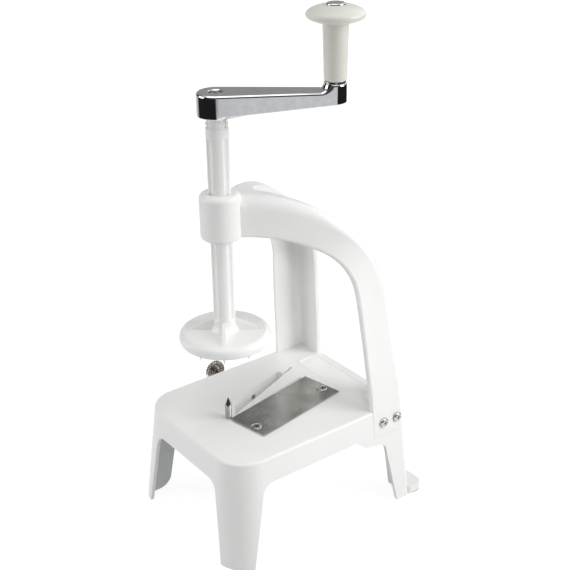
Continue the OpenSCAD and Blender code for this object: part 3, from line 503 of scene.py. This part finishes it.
def applied(piece):
    """Applies the piece's modifiers to its mesh."""
    bpy.context.view_layer.update()
    made = bpy.data.meshes.new_from_object(piece.evaluated_get(bpy.context.evaluated_depsgraph_get()))
    piece.modifiers.clear()
    piece.data = made
    return piece


def combine(piece, tool, how):
    """Joins a helper body to a piece, or cuts it away."""
    step = piece.modifiers.new(how, "BOOLEAN")
    step.operation = how
    step.object = tool
    step.solver = "EXACT"
    applied(piece)
    bpy.data.objects.remove(tool)
    return piece


print("96 steps keep a circle of 15 mm within", round(15 * (1 - math.cos(math.pi / 96)), 3), "mm")

# %% Collar and bore
COLLAR_R = 15.25
COLLAR_LOW, COLLAR_LOW_R = 154, 3
COLLAR_TOP, COLLAR_TOP_R = 189, 4
BORE_R = 8.3
BORE_FROM, BORE_TO = 130, 210

collar = bmesh.new()
low_rim = arc((COLLAR_R - COLLAR_LOW_R, COLLAR_LOW + COLLAR_LOW_R), COLLAR_LOW_R, 270, 360, 6)
top_rim = arc((COLLAR_R - COLLAR_TOP_R, COLLAR_TOP - COLLAR_TOP_R), COLLAR_TOP_R, 0, 90, 8)
turned(collar, low_rim + top_rim, steps=128)
combine(arch, new_piece("collar", collar), "UNION")
bore = bmesh.new()
turned(bore, [(BORE_R, BORE_FROM), (BORE_R, BORE_TO)])
combine(arch, new_piece("bore", bore), "DIFFERENCE")
print("arch with collar:", len(arch.data.polygons), "faces")

# %% Spot faces
SPOT_R = 4.4
SPOT_DEPTH = 5
SPOT_X, SPOT_Z = 65.909, -11.96
SCREW_YS = (104, 118)

for side in (1, -1):
    outward = Matrix.Rotation(side * math.pi / 2, 4, "Y")
    for y in SCREW_YS:
        spot = bmesh.new()
        place = Matrix.Translation((side * SPOT_X, y, SPOT_Z)) @ outward
        turned(spot, [(SPOT_R, 0), (SPOT_R, SPOT_DEPTH)], 48, place)
        combine(arch, new_piece("spot_face", spot), "DIFFERENCE")
print("arch with spot faces:", len(arch.data.polygons), "faces")

# %% [markdown]
# ## Shading and dressing
# On a moulding, faces flow into each other except at true edges. Smooth shading alone would smear the flat
# faces, and a subdivision would shrink the piece. So edges that turn more than an angle stay sharp, and
# weighted normals keep large faces flat. A finished piece then gets its material and rides on a body of the
# imported model, and the solid it stands in for is hidden.


# %% Shading and dressing
def smoothed(piece, sharp=35):
    """Smooth shading between the edges that turn more than an angle."""
    piece.data.shade_smooth()
    piece.data.set_sharp_from_angle(angle=math.radians(sharp))
    smooth = piece.modifiers.new("normals", "WEIGHTED_NORMAL")
    smooth.keep_sharp = True
    return applied(piece)


def dress(piece, body, material, slot, *replaced):
    """Puts a finished piece on its body, with its material."""
    piece.data.materials.clear()
    piece.data.materials.append(material)
    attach(piece, body)
    if replaced:
        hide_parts(*replaced)
    return piece


dress(smoothed(arch), "stand", white_abs, "white_plastic", "arch_frame")

# %% [markdown]
# ## Thumbscrew
# A turned and nickel plated screw clamps the comb blade. Its head has a straight knurl of rounded lobes,
# its shank is plain up to the skirt, then comes the thread, and it ends in a slim dog point. The solid has
# a plain stud, because a thread is far too fine for it. A screw modifier could wind a thread, but not fade
# it into the shank. Here the turned body's radius rises and falls once per pitch along a helix, and once
# per lobe round the head, so head and thread come from the same function.

# %% Knurl and thread
KNURLS = 28
KNURL_DEPTH = 0.75
RIM_FROM_R = 8
PITCH = 0.8
THREAD_DEPTH = 0.42
THREAD_X = -67.0
THREAD_FROM_R = 2.2


def knurled(r, z, turn):
    """Lobes with a groove between them, on the head's rim only."""
    return r - KNURL_DEPTH * (1 - abs(math.sin(KNURLS * turn / 2))) if r > RIM_FROM_R else r


def threaded(r, z, turn):
    """A ridge that climbs one pitch per turn, beyond the plain shank and short of the dog point."""
    rise = (z / PITCH - turn / (2 * math.pi)) % 1
    return r - THREAD_DEPTH * abs(2 * rise - 1) if r > THREAD_FROM_R and z >= THREAD_X else r


print("a lobe covers", round(360 / KNURLS, 1), "degrees of the rim")

# %% Thumbscrew
DOG_L, DOG_R, POINT_R = 4.0, 1.8, 1.5
SHANK_R, SHANK_X = 2.48, -77.0
CHAMFER = 0.3
PER_PITCH = 6
SCREW_AXIS = (0, 41, -8.5)
# Radius and X of the head, from the dished face to the collar behind it
HEAD = [(5.6, -82.7), (6.2, -82.9), (6.6, -83.5), (8.2, -83.5), (8.75, -83.0), (8.75, -80.0),
        (8.2, -79.5), (4.8, -79.5), (4.5, -79.2), (4.5, -76.9), (4.1, -76.5), (2.0, -76.5)]

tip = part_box("thumbscrew")[1][0] / MM
along_x = Matrix.Translation(SCREW_AXIS) @ Matrix.Rotation(math.pi / 2, 4, "Y")
screw = bmesh.new()
turned(screw, HEAD, KNURLS * 10, along_x, knurled)
count = int((tip - DOG_L - THREAD_X) / PITCH * PER_PITCH)
shank = [(SHANK_R, SHANK_X), (SHANK_R, THREAD_X - CHAMFER)]
thread = [(SHANK_R, THREAD_X + k * PITCH / PER_PITCH) for k in range(count)]
dog = [(DOG_R, tip - DOG_L + CHAMFER), (DOG_R, tip - CHAMFER), (POINT_R, tip)]
turned(screw, shank + thread + dog, 30, along_x, threaded)
thumbscrew = smoothed(new_piece("knurled_thumbscrew", screw), sharp=40)
dress(thumbscrew, "clamp_screw", dark_nickel, "dark_nickel", "thumbscrew")
print("thumbscrew:", len(thumbscrew.data.polygons), "faces, tip at", round(tip, 1), "mm")

# %% [markdown]
# ## Crank
# The crank is a zinc casting, polished and chrome plated, so its edges are soft and its sides flow into
# the boss under the grip. A bevel on the solid would break where the boss meets the arm. Its outline is
# two circles joined by their tangents, and a smaller outline is the same shape with smaller circles, so
# rings of outlines, each a little further in, make the rounded edges and the top. The top's height is a
# function of the distance from the grip, which gives the boss and its hollow fillet.

# %% Crank outline
THROW = 82.5
HUB_R = 13.6
END_R = 8.0
LEAN = math.asin((HUB_R - END_R) / THROW)
HUB_STEPS, END_STEPS = 48, 32
# The steps along a side are finer near the boss, where the top curves
SIDE_STEPS = [k / 40 for k in range(1, 32)] + [0.775 + k * 0.0075 for k in range(1, 30)]


def crank_outline(inset):
    """The crank from above, a little further in: hub, right side, end, left side."""
    turn = 90 - math.degrees(LEAN)
    hub = arc((0, 0), HUB_R - inset, turn, 360 - turn, HUB_STEPS)
    end = arc((THROW, 0), max(0, END_R - inset), -turn, turn, END_STEPS)
    near, far = Vector(hub[-1]), Vector(end[0])
    side = [tuple(near.lerp(far, share)) for share in SIDE_STEPS]
    return hub + side + end + [(x, -y) for x, y in reversed(side)]


print("crank outline:", len(crank_outline(0)), "points")

# %% Crank heights
HUB_Z, HUB_TOP, HUB_FRONT = 246.0, 263.0, 9
BOSS_H, BOSS_R, BOSS_FILLET = 5.5, 8.2, 5
ARM_LIFT = 2
RISE_FROM, RISE = 11.6, 7 / 86.9


def crank_top(x, y):
    """The top's height: level, then a hollow fillet up to the boss."""
    r = math.hypot(x - THROW, y)
    if r < BOSS_R:
        return HUB_TOP + BOSS_H
    toward = BOSS_R + BOSS_FILLET - r
    return HUB_TOP + (BOSS_FILLET - math.sqrt(BOSS_FILLET ** 2 - toward ** 2) if toward > 0 else 0)


def crank_bottom(x, y):
    """The underside's height: the hub reaches lowest, and the arm slopes up to the grip."""
    in_hub = math.hypot(x, y) < HUB_R + 0.01 and x < HUB_FRONT
    return HUB_Z if in_hub else HUB_Z + ARM_LIFT + max(0, x - RISE_FROM) * RISE


print("crank at the grip:", round(crank_bottom(THROW, 0), 1), "to", crank_top(THROW, 0), "mm")

# %% Crank skin
EDGE_R = 2
LOW_EDGE_R = 0.8
ROUND_STEPS = 8
TOP_INSETS = (2.6, 3.4, 4.4, 5.6, 7.0, 8.0)

shape = bmesh.new()
rings = []
for inset, rise in ((LOW_EDGE_R, 0), (0.23, 0.25), (0, LOW_EDGE_R)):
    rings.append([(x, y, crank_bottom(x, y) + rise) for x, y in crank_outline(inset)])
for k in range(ROUND_STEPS + 1):
    turn = k * math.pi / 2 / ROUND_STEPS
    inset, drop = EDGE_R - EDGE_R * math.cos(turn), EDGE_R - EDGE_R * math.sin(turn)
    rings.append([(x, y, crank_top(x, y) - drop) for x, y in crank_outline(inset)])
for inset in TOP_INSETS:
    rings.append([(x, y, crank_top(x, y)) for x, y in crank_outline(inset)])
made = loft(shape, rings)
print("crank skin:", len(rings), "rings")

# %% Crank
CRANK_TURN = math.radians(53.5)
# Radius and height of the screw's hole, its counterbore and the counterbore's chamfer
COUNTERBORE = [(2.1, 252), (2.1, 258.8), (5.0, 258.8), (5.0, 262.5), (5.9, 263.4)]

top, count = made[-1], len(SIDE_STEPS)
end_at = HUB_STEPS + 1 + count
first = top[HUB_STEPS:end_at]
last = [top[0]] + list(reversed(top[end_at + END_STEPS + 1:]))
shape.faces.new(made[0])
shape.faces.new(top[:HUB_STEPS + 1])
for k in range(count):
    shape.faces.new((first[k], first[k + 1], last[k + 1], last[k]))
shape.faces.new((first[count], top[end_at], last[count]))
bmesh.ops.transform(shape, matrix=Matrix.Rotation(CRANK_TURN, 4, "Z"), verts=shape.verts)
crank = new_piece("crank", shape)
sink = bmesh.new()
turned(sink, COUNTERBORE, steps=64)
combine(crank, new_piece("sink", sink), "DIFFERENCE")
dress(smoothed(crank, sharp=40), "spindle_unit", chrome, "chrome_plate", "crank_arm")
print("crank:", len(crank.data.polygons), "faces")

# %% [markdown]
# ## Blade screws
# Two raised countersunk screws hold the blade. Their heads are shallow domes that catch the light all
# round. The solid has a flat head, and a bevel would only soften its rim. So the screws are turned with a
# curved profile, and the cross recess is cut with two bars, each screw at a turn of its own, as screws
# are. Their places are read from the solids, so they always sit in their holes.

# %% Blade screws
# Radius and height of the head's rim and dome, and of the stem below it
DOME = [(3.95, 0.75), (3.95, 0.9), (3.7, 1.08), (3.1, 1.22), (2.2, 1.34), (1.2, 1.41)]
STEM_R, STEM_END_R, STEM_TOP, CHAMFER_H = 2.0, 1.6, -1.2, 0.4
RECESS = (4.6, 1.1, 2.0)
TURNS = (math.radians(25), math.radians(65))

low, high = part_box("blade_screws")
points = [vertex.co / MM for vertex in nodes["blade_screws"].data.vertices]
middle = (low[1] + high[1]) / 2 / MM
bottom = low[2] / MM
stem = [(STEM_END_R, bottom), (STEM_R, bottom + CHAMFER_H), (STEM_R, STEM_TOP)]
for number, group in enumerate(([p for p in points if p.y < middle], [p for p in points if p.y > middle])):
    x = (min(p.x for p in group) + max(p.x for p in group)) / 2
    y = (min(p.y for p in group) + max(p.y for p in group)) / 2
    place = Matrix.Translation((x, y, 0)) @ Matrix.Rotation(TURNS[number], 4, "Z")
    body = bmesh.new()
    turned(body, stem + DOME, 64, place)
    screw = new_piece("blade_screw_%d" % (number + 1), body)
    for turn in (0, math.pi / 2):
        bar = bmesh.new()
        bmesh.ops.create_cube(bar, size=1, matrix=place @ Matrix.Rotation(turn, 4, "Z")
                              @ Matrix.Translation((0, 0, 1)) @ Matrix.Diagonal((*RECESS, 1)))
        combine(screw, new_piece("recess", bar), "DIFFERENCE")
    dress(smoothed(screw), "stand", screw_steel, "screw_steel", *(["blade_screws"] if number == 0 else []))
    print(screw.name, "at", round(x, 1), round(y, 1))

# %% [markdown]
# ## Rubber feet
# A flat rubber pad sits under each rear tab and shows as a dark sliver at the floor. The solid is a plain
# round pad on a plug. What shows is an edge that follows the tab, so here a pad is a loft of rounded
# rectangles: a small radius at the floor, an upright side and a flat top.


# %% Rubber feet
def outline(x0, y0, x1, y1, r, z):
    """A rectangle with round corners, as points in millimetres."""
    corners = ((x1 - r, y1 - r, 0), (x0 + r, y1 - r, 90), (x0 + r, y0 + r, 180), (x1 - r, y0 + r, 270))
    return [(x, y, z) for cx, cy, a in corners for x, y in arc((cx, cy), r, a, a + 90, 8)]


PAD = (58.0, 127.8, 74.9, 141.4)
PAD_R = 5.5
# How far in from the tab's outline, and height
PAD_PROFILE = ((1.2, -88), (0.5, -87.9), (0.2, -87.6), (0.2, -86.85), (1.0, -86.85))

pads = bmesh.new()
for side in (1, -1):
    rings = []
    for inset, z in PAD_PROFILE:
        ring = outline(PAD[0] + inset, PAD[1] + inset, PAD[2] - inset, PAD[3] - inset, PAD_R - inset, z)
        rings.append([(side * x, y, height) for x, y, height in ring])
    made = loft(pads, rings)
    pads.faces.new(made[0])
    pads.faces.new(made[-1])
feet = smoothed(new_piece("rubber_feet", pads), sharp=40)
dress(feet, "stand", rubber, "rubber", "rear_pads")
print("rubber feet:", len(feet.data.polygons), "faces")

# %% [markdown]
# ## Bare panel on the deck
# A raised border with round corners frames a bare field on the rear of the deck, and a small ring stands
# beside it. Both are part of the moulding and about half a millimetre high or less. A bump could draw
# them, but only a real edge gives a line of light that moves with the view. A border is a loft of
# outlines: up the outer wall, over the top and down the inner wall.


# %% Deck panel
SUNK = -0.05
SHOULDER_IN, SHOULDER = 0.12, 0.7
CREST_IN = 0.3


def border(shape, box, r, width, height):
    """A raised rim along a rounded rectangle. Its foot is sunk a little into the deck."""
    x0, y0, x1, y1 = box
    rings = []
    for inset, z in ((0, SUNK), (SHOULDER_IN, height * SHOULDER), (CREST_IN, height),
                     (width - CREST_IN, height), (width - SHOULDER_IN, height * SHOULDER), (width, SUNK)):
        rings.append(outline(x0 + inset, y0 + inset, x1 - inset, y1 - inset, max(0.2, r - inset), z))
    loft(shape, rings + rings[:1])


rims = bmesh.new()
border(rims, (-38.0, 96.0, 38.0, 118.0), r=5.0, width=1.4, height=0.55)
border(rims, (43.8, 98.2, 48.8, 103.2), r=2.5, width=0.7, height=0.3)
panel = smoothed(new_piece("deck_panel_border", rims), sharp=50)
dress(panel, "stand", white_abs, "white_plastic")
print("deck panel:", len(panel.data.polygons), "faces")

# %% [markdown]
# ## Ribs in the front legs
# A thin rib stiffens each front leg. It runs back from the front wall, a little in from the leg's inner
# edge, and ends in a round corner above the floor. A box with a bevel could stand for it, but it leans
# with the leg, so X has to follow from the height. Four outlines, of which the first and the last are
# slightly smaller, give a leaning plate with soft edges.

# %% Leg ribs
RIB_T, RIB_EDGE, RIB_R = 2.5, 0.4, 11.0
RIB_X, RIB_LEAN = 41.0, 0.1733
RIB_BACK, RIB_BACK_LEAN = -24.6, 5.5
RIB_TOP, RIB_LOW = -6.0, -83.9
WALL_Y = -37.8


def wall_y(z):
    """Where the rib meets the leaning front wall."""
    return WALL_Y + LEG_SPLAY / DECK_H * z


def rib_outline(inset):
    """The rib from the side, as Y and Z in millimetres: back edge, round corner, bottom, front wall."""
    back, low = RIB_BACK - inset, RIB_LOW + inset
    corner = arc((back - RIB_R, low + RIB_R), RIB_R, 0, -90, 10)
    return [(back + RIB_BACK_LEAN, RIB_TOP)] + corner + [(wall_y(low), low), (wall_y(RIB_TOP), RIB_TOP)]


ribs = bmesh.new()
for side in (1, -1):
    rings = []
    for inset, across in ((RIB_EDGE, 0), (0, RIB_EDGE), (0, RIB_T - RIB_EDGE), (RIB_EDGE, RIB_T)):
        rings.append([(side * (RIB_X - RIB_LEAN * z + across), y, z) for y, z in rib_outline(inset)])
    made = loft(ribs, rings)
    ribs.faces.new(made[0])
    ribs.faces.new(made[-1])
leg_ribs = smoothed(new_piece("leg_ribs", ribs), sharp=40)
# The ribs take the grey ABS whose colour is painted shade, for the shade inside the legs.
dress(leg_ribs, "stand", painted_shade_abs, "white_plastic")
print("leg ribs:", len(leg_ribs.data.polygons), "faces")

# %% [markdown]
# ## Rounded copies of the solids
# A moulded or ground edge is never sharp: its small radius catches a line of light. The base, the blade,
# the spindle and the grip already have the right form as solids, so nothing is gained by modelling them
# again. A copy of the mesh is cleaned to whole faces and its edges are rounded by a bevel. Close points
# are merged first, because the thin strips between them would stop it. Weighted normals keep the flat
# faces flat.


# %% Rounding helper
CLOSE_MM = 0.03
FLAT_ANGLE = math.radians(0.4)
SHARP_ANGLE = math.radians(30)


def rounded(node, name, width_mm):
    """A copy of a node with its sharp edges rounded."""
    piece = bpy.data.objects.new(name, nodes[node].data.copy())
    bpy.context.scene.collection.objects.link(piece)
    shape = bmesh.new()
    shape.from_mesh(piece.data)
    bmesh.ops.remove_doubles(shape, verts=shape.verts, dist=CLOSE_MM * MM)
    bmesh.ops.dissolve_limit(shape, angle_limit=FLAT_ANGLE, verts=shape.verts, edges=shape.edges)
    shape.to_mesh(piece.data)
    shape.free()
    piece.data.shade_smooth()
    bevel = piece.modifiers.new("edges", "BEVEL")
    bevel.width = width_mm * MM
    bevel.segments = 2
    bevel.limit_method = "ANGLE"
    bevel.angle_limit = SHARP_ANGLE
    bevel.miter_outer = "MITER_ARC"
    bevel.harden_normals = True
    smooth = piece.modifiers.new("normals", "WEIGHTED_NORMAL")
    smooth.keep_sharp = True
    return applied(piece)


print("base before it is cleaned:", len(nodes["base"].data.polygons), "faces")

# %% Rounded pieces
# Solid, name of the piece, radius in millimetres, body, material and slot
ROUNDED = (
    ("base", "base_moulding", 0.6, "stand", white_abs, "white_plastic"),
    ("blade_plate", "blade", 0.15, "stand", blade_steel, "blade_steel"),
    ("spindle", "spindle_moulding", 0.4, "spindle_unit", white_abs, "white_plastic"),
    ("grip", "grip_moulding", 0.5, "crank_grip", warm_abs, "ivory_plastic"),
)
for node, name, width, body, material, slot in ROUNDED:
    piece = dress(rounded(node, name, width), body, material, slot, node)
    print(name, len(piece.data.polygons), "faces")

# %% [markdown]
# ## Solids that stay as they are
# Nuts, washers, inserts, the pin, the grip's axle, the collar's ring and the small screws are plain round or
# hexagonal parts, mostly hidden. They could be copied and bevelled too, but at this size the light on their
# edges wouldn't change. So they keep their meshes and only get the material of the real part.

# %% Solids that stay as they are
CARRIED = {
    "friction_ring": rubber,
    "blade_nuts": screw_steel, "pin_washer": screw_steel, "pin_nut": screw_steel,
    "arch_screws": screw_steel, "arch_nuts": screw_steel, "crank_washer": screw_steel,
    "crank_screw": screw_steel, "grip_washer": screw_steel, "grip_axle": chrome,
    "center_pin": pin_steel_painted_reflection, "thumb_insert": brass, "spindle_insert": brass,
}
for node, material in CARRIED.items():
    nodes[node].data.materials.clear()
    nodes[node].data.materials.append(material)
print("carried over:", sorted(CARRIED))

# %% [markdown]
# ## Floor
# The tool stands on white paper. More light would make the paper white, but would burn out the tool. So
# for the camera the paper glows and still takes the shadow, while for all other light it is plain paper
# that sends back 72 percent. Chrome only looks like chrome when it has something dark to mirror, so in a
# studio black flags are laid around it. Here the flags are part of the floor, are seen by glossy rays only
# and start half a metre away, with a gap on one side that gives the crank its bright flank.

# %% Floor
FLOOR_Z = -0.088
FLOOR_HALF = 4

floor_mesh = bpy.data.meshes.new("floor")
corners = [(x * FLOOR_HALF, y * FLOOR_HALF, FLOOR_Z) for x, y in ((-1, -1), (1, -1), (1, 1), (-1, 1))]
floor_mesh.from_pydata(corners, [], [(0, 1, 2, 3)])
floor = bpy.data.objects.new("floor", floor_mesh)
bpy.context.scene.collection.objects.link(floor)
paper = bpy.data.materials.new("pressed_white_paper")
paper.use_nodes = True
floor_mesh.materials.append(paper)
print("floor at", FLOOR_Z)

# %% Paper as the camera and as the light see it
# Pressed paper is matt and even, so it gives a clean, soft shadow and no highlight.
PAPER, PAPER_SHADE = 0.72, 0.3
GLOW_NEAR, GLOW_FAR = (0.4, 0.85), (2.2, 1.0)

tree = paper.node_tree
tree.nodes.clear()
path = add(tree, "ShaderNodeLightPath")
place = add(tree, "ShaderNodeTexCoord").outputs["Object"]
reach = add(tree, "ShaderNodeVectorMath", {0: place}, operation="LENGTH")
lit = add(tree, "ShaderNodeBsdfDiffuse", {"Color": (PAPER, PAPER, PAPER, 1)})
shade = add(tree, "ShaderNodeBsdfDiffuse", {"Color": (PAPER_SHADE, PAPER_SHADE, PAPER_SHADE, 1)})
white = add(tree, "ShaderNodeMapRange", {"Value": reach.outputs["Value"], "From Min": GLOW_NEAR[0],
                                         "From Max": GLOW_FAR[0], "To Min": GLOW_NEAR[1],
                                         "To Max": GLOW_FAR[1]})
glow = add(tree, "ShaderNodeEmission", {"Color": (1, 1, 1, 1), "Strength": white.outputs["Result"]})
seen = add(tree, "ShaderNodeAddShader", {0: shade.outputs["BSDF"], 1: glow.outputs["Emission"]})
direct = add(tree, "ShaderNodeMath", {0: path.outputs["Is Camera Ray"], 1: path.outputs["Is Glossy Ray"]},
             operation="MAXIMUM")
direct = add(tree, "ShaderNodeMath", {0: direct.outputs["Value"], 1: path.outputs["Is Transmission Ray"]},
             operation="MAXIMUM")
sheet = add(tree, "ShaderNodeMixShader", {0: direct.outputs["Value"], 1: lit.outputs["BSDF"],
                                          2: seen.outputs["Shader"]})
print("paper nodes:", len(tree.nodes))

# %% Flags for the chrome
FLAG_NEAR, FLAG_FAR = 0.5, 0.8
FLAG_BLACK, FLAG_WHITE = 0.015, 0.74
GAP_TURN = math.radians(-23)
GAP_WAY = (math.cos(GAP_TURN), math.sin(GAP_TURN), 0)

far = add(tree, "ShaderNodeMapRange", {"Value": reach.outputs["Value"], "From Min": FLAG_NEAR,
                                       "From Max": FLAG_FAR}, interpolation_type="SMOOTHSTEP")
way = add(tree, "ShaderNodeVectorMath", {0: place}, operation="NORMALIZE")
ahead = add(tree, "ShaderNodeVectorMath", {0: way.outputs["Vector"], 1: GAP_WAY}, operation="DOT_PRODUCT")
gap = add(tree, "ShaderNodeMapRange", {"Value": ahead.outputs["Value"], "From Min": 0.979, "From Max": 0.984,
                                       "To Min": 1.0, "To Max": 0.0})
behind = add(tree, "ShaderNodeMapRange", {"Value": ahead.outputs["Value"], "From Min": -0.85,
                                          "From Max": -0.6})
flag = add(tree, "ShaderNodeMath", {0: gap.outputs["Result"], 1: behind.outputs["Result"]},
           operation="MULTIPLY")
felt = add(tree, "ShaderNodeMapRange", {"Value": flag.outputs["Value"], "To Min": FLAG_WHITE,
                                        "To Max": FLAG_BLACK})
felt = add(tree, "ShaderNodeEmission", {"Color": (1, 1, 1, 1), "Strength": felt.outputs["Result"]})
flags = add(tree, "ShaderNodeMath", {0: far.outputs["Result"], 1: path.outputs["Is Glossy Ray"]},
            operation="MULTIPLY")
whole = add(tree, "ShaderNodeMixShader", {0: flags.outputs["Value"], 1: sheet.outputs["Shader"],
                                          2: felt.outputs["Emission"]})
add(tree, "ShaderNodeOutputMaterial", {"Surface": whole.outputs["Shader"]})
print("floor nodes:", len(tree.nodes))

# %% [markdown]
# ## Studio room
# Metal and glossy plastic show the room they stand in. A picture of a room could be wrapped round the
# scene, but a few smooth steps of grey are enough and can be adjusted one by one. The world has three
# faces. The camera sees plain white. Diffuse light gets an even, weak ambient, which opens the shadows.
# Glossy rays see a grey room: walls that darken toward the front, a bright roof, and dark cards on both
# sides that put edges on round forms.

# %% Room for glossy rays
WALL_BACK, WALL_FRONT = 0.34, 0.07
ROOF = 0.9

world = bpy.data.worlds.new("studio")
bpy.context.scene.world = world
world.use_nodes = True
tree = world.node_tree
tree.nodes.clear()
sky = add(tree, "ShaderNodeTexCoord").outputs["Generated"]
height = add(tree, "ShaderNodeSeparateXYZ", {"Vector": sky})
across = add(tree, "ShaderNodeVectorMath", {0: sky, 1: tuple(right)}, operation="DOT_PRODUCT")
aside = add(tree, "ShaderNodeMath", {0: across.outputs["Value"]}, operation="ABSOLUTE")
card = add(tree, "ShaderNodeMapRange", {"Value": aside.outputs["Value"], "From Min": 0.6, "From Max": 0.8},
           interpolation_type="SMOOTHSTEP")
low = add(tree, "ShaderNodeMapRange", {"Value": height.outputs["Z"], "From Min": 0.35, "From Max": 0.6,
                                       "To Min": 1.0, "To Max": 0.0}, interpolation_type="SMOOTHSTEP")
dark = add(tree, "ShaderNodeMath", {0: card.outputs["Result"], 1: low.outputs["Result"]},
           operation="MULTIPLY")
toward = add(tree, "ShaderNodeVectorMath", {0: sky, 1: (-forward.x, -forward.y, 0)}, operation="DOT_PRODUCT")
wall = add(tree, "ShaderNodeMapRange", {"Value": toward.outputs["Value"], "From Min": -0.9, "From Max": 0.6,
                                        "To Min": WALL_BACK, "To Max": WALL_FRONT})
roof = add(tree, "ShaderNodeMapRange", {"Value": height.outputs["Z"], "From Min": 0.6, "From Max": 0.85,
                                        "To Min": 0.0, "To Max": ROOF}, interpolation_type="SMOOTHSTEP")
bright = add(tree, "ShaderNodeMath", {0: wall.outputs["Result"], 1: roof.outputs["Result"]},
             operation="MAXIMUM")
clear = add(tree, "ShaderNodeMath", {0: 1.0, 1: dark.outputs["Value"]}, operation="SUBTRACT")
level = add(tree, "ShaderNodeMath", {0: bright.outputs["Value"], 1: clear.outputs["Value"]},
            operation="MULTIPLY")
print("room nodes:", len(tree.nodes))

# %% Three faces of the world
AMBIENT = 0.28

path = add(tree, "ShaderNodeLightPath")
room = add(tree, "ShaderNodeBackground", {"Color": (1, 1, 1, 1), "Strength": level.outputs["Value"]})
ambient = add(tree, "ShaderNodeBackground", {"Color": (1, 1, 1, 1), "Strength": AMBIENT})
white = add(tree, "ShaderNodeBackground", {"Color": (1, 1, 1, 1), "Strength": 1.0})
lighting = add(tree, "ShaderNodeMixShader", {0: path.outputs["Is Glossy Ray"],
                                             1: ambient.outputs["Background"],
                                             2: room.outputs["Background"]})
whole = add(tree, "ShaderNodeMixShader", {0: path.outputs["Is Camera Ray"], 1: lighting.outputs["Shader"],
                                          2: white.outputs["Background"]})
add(tree, "ShaderNodeOutputWorld", {"Surface": whole.outputs["Shader"]})
print("world:", world.name, "with", len(tree.nodes), "nodes")

# %% [markdown]
# ## Lamps
# White plastic on white paper needs soft light with a clear direction, or its faces melt together. A sun
# lamp would give hard shadows, and the world alone none. So a large soft box on the right rear is the key,
# a weaker one at the left front lifts the near faces, and two more come from above and behind. A narrow
# spot reaches under the arch, where the soft boxes are blocked. It is hidden from glossy rays, so that no
# metal shows it. The powers were matched one lamp at a time.


# %% Lamps
def lamp(name, kind, place, aim, power):
    """A light that faces a point."""
    data = bpy.data.lights.new(name, kind)
    data.energy = power
    light = bpy.data.objects.new(name, data)
    bpy.context.scene.collection.objects.link(light)
    light.location = place
    light.rotation_euler = (Vector(aim) - Vector(place)).to_track_quat("-Z", "Y").to_euler()
    return light


# Name, place, aim, size of the box in metres, power in watts
SOFT_BOXES = (
    ("key_right", (1.5, 1.25, 0.95), (0, 0.03, 0.06), 1.4, 30),
    ("fill_left", (-1.1, -1.5, 0.6), (0, 0.03, 0.08), 1.3, 14),
    ("top", (0.1, -0.3, 1.9), (0, 0.03, 0.05), 1.5, 9.5),
    ("back", (-0.3, 1.7, 1.1), (0, 0.03, 0.03), 1.4, 6),
)
for name, place, aim, size, power in SOFT_BOXES:
    lamp(name, "AREA", place, aim, power).data.size = size
snoot = lamp("snoot", "SPOT", (0.95, -0.35, 0.62), (-0.045, 0.108, 0.03), 10)
snoot.data.spot_size = math.radians(13)
snoot.data.spot_blend = 1.0
snoot.data.shadow_soft_size = 0.08
snoot.visible_glossy = False
print("lamps:", len(SOFT_BOXES) + 1)
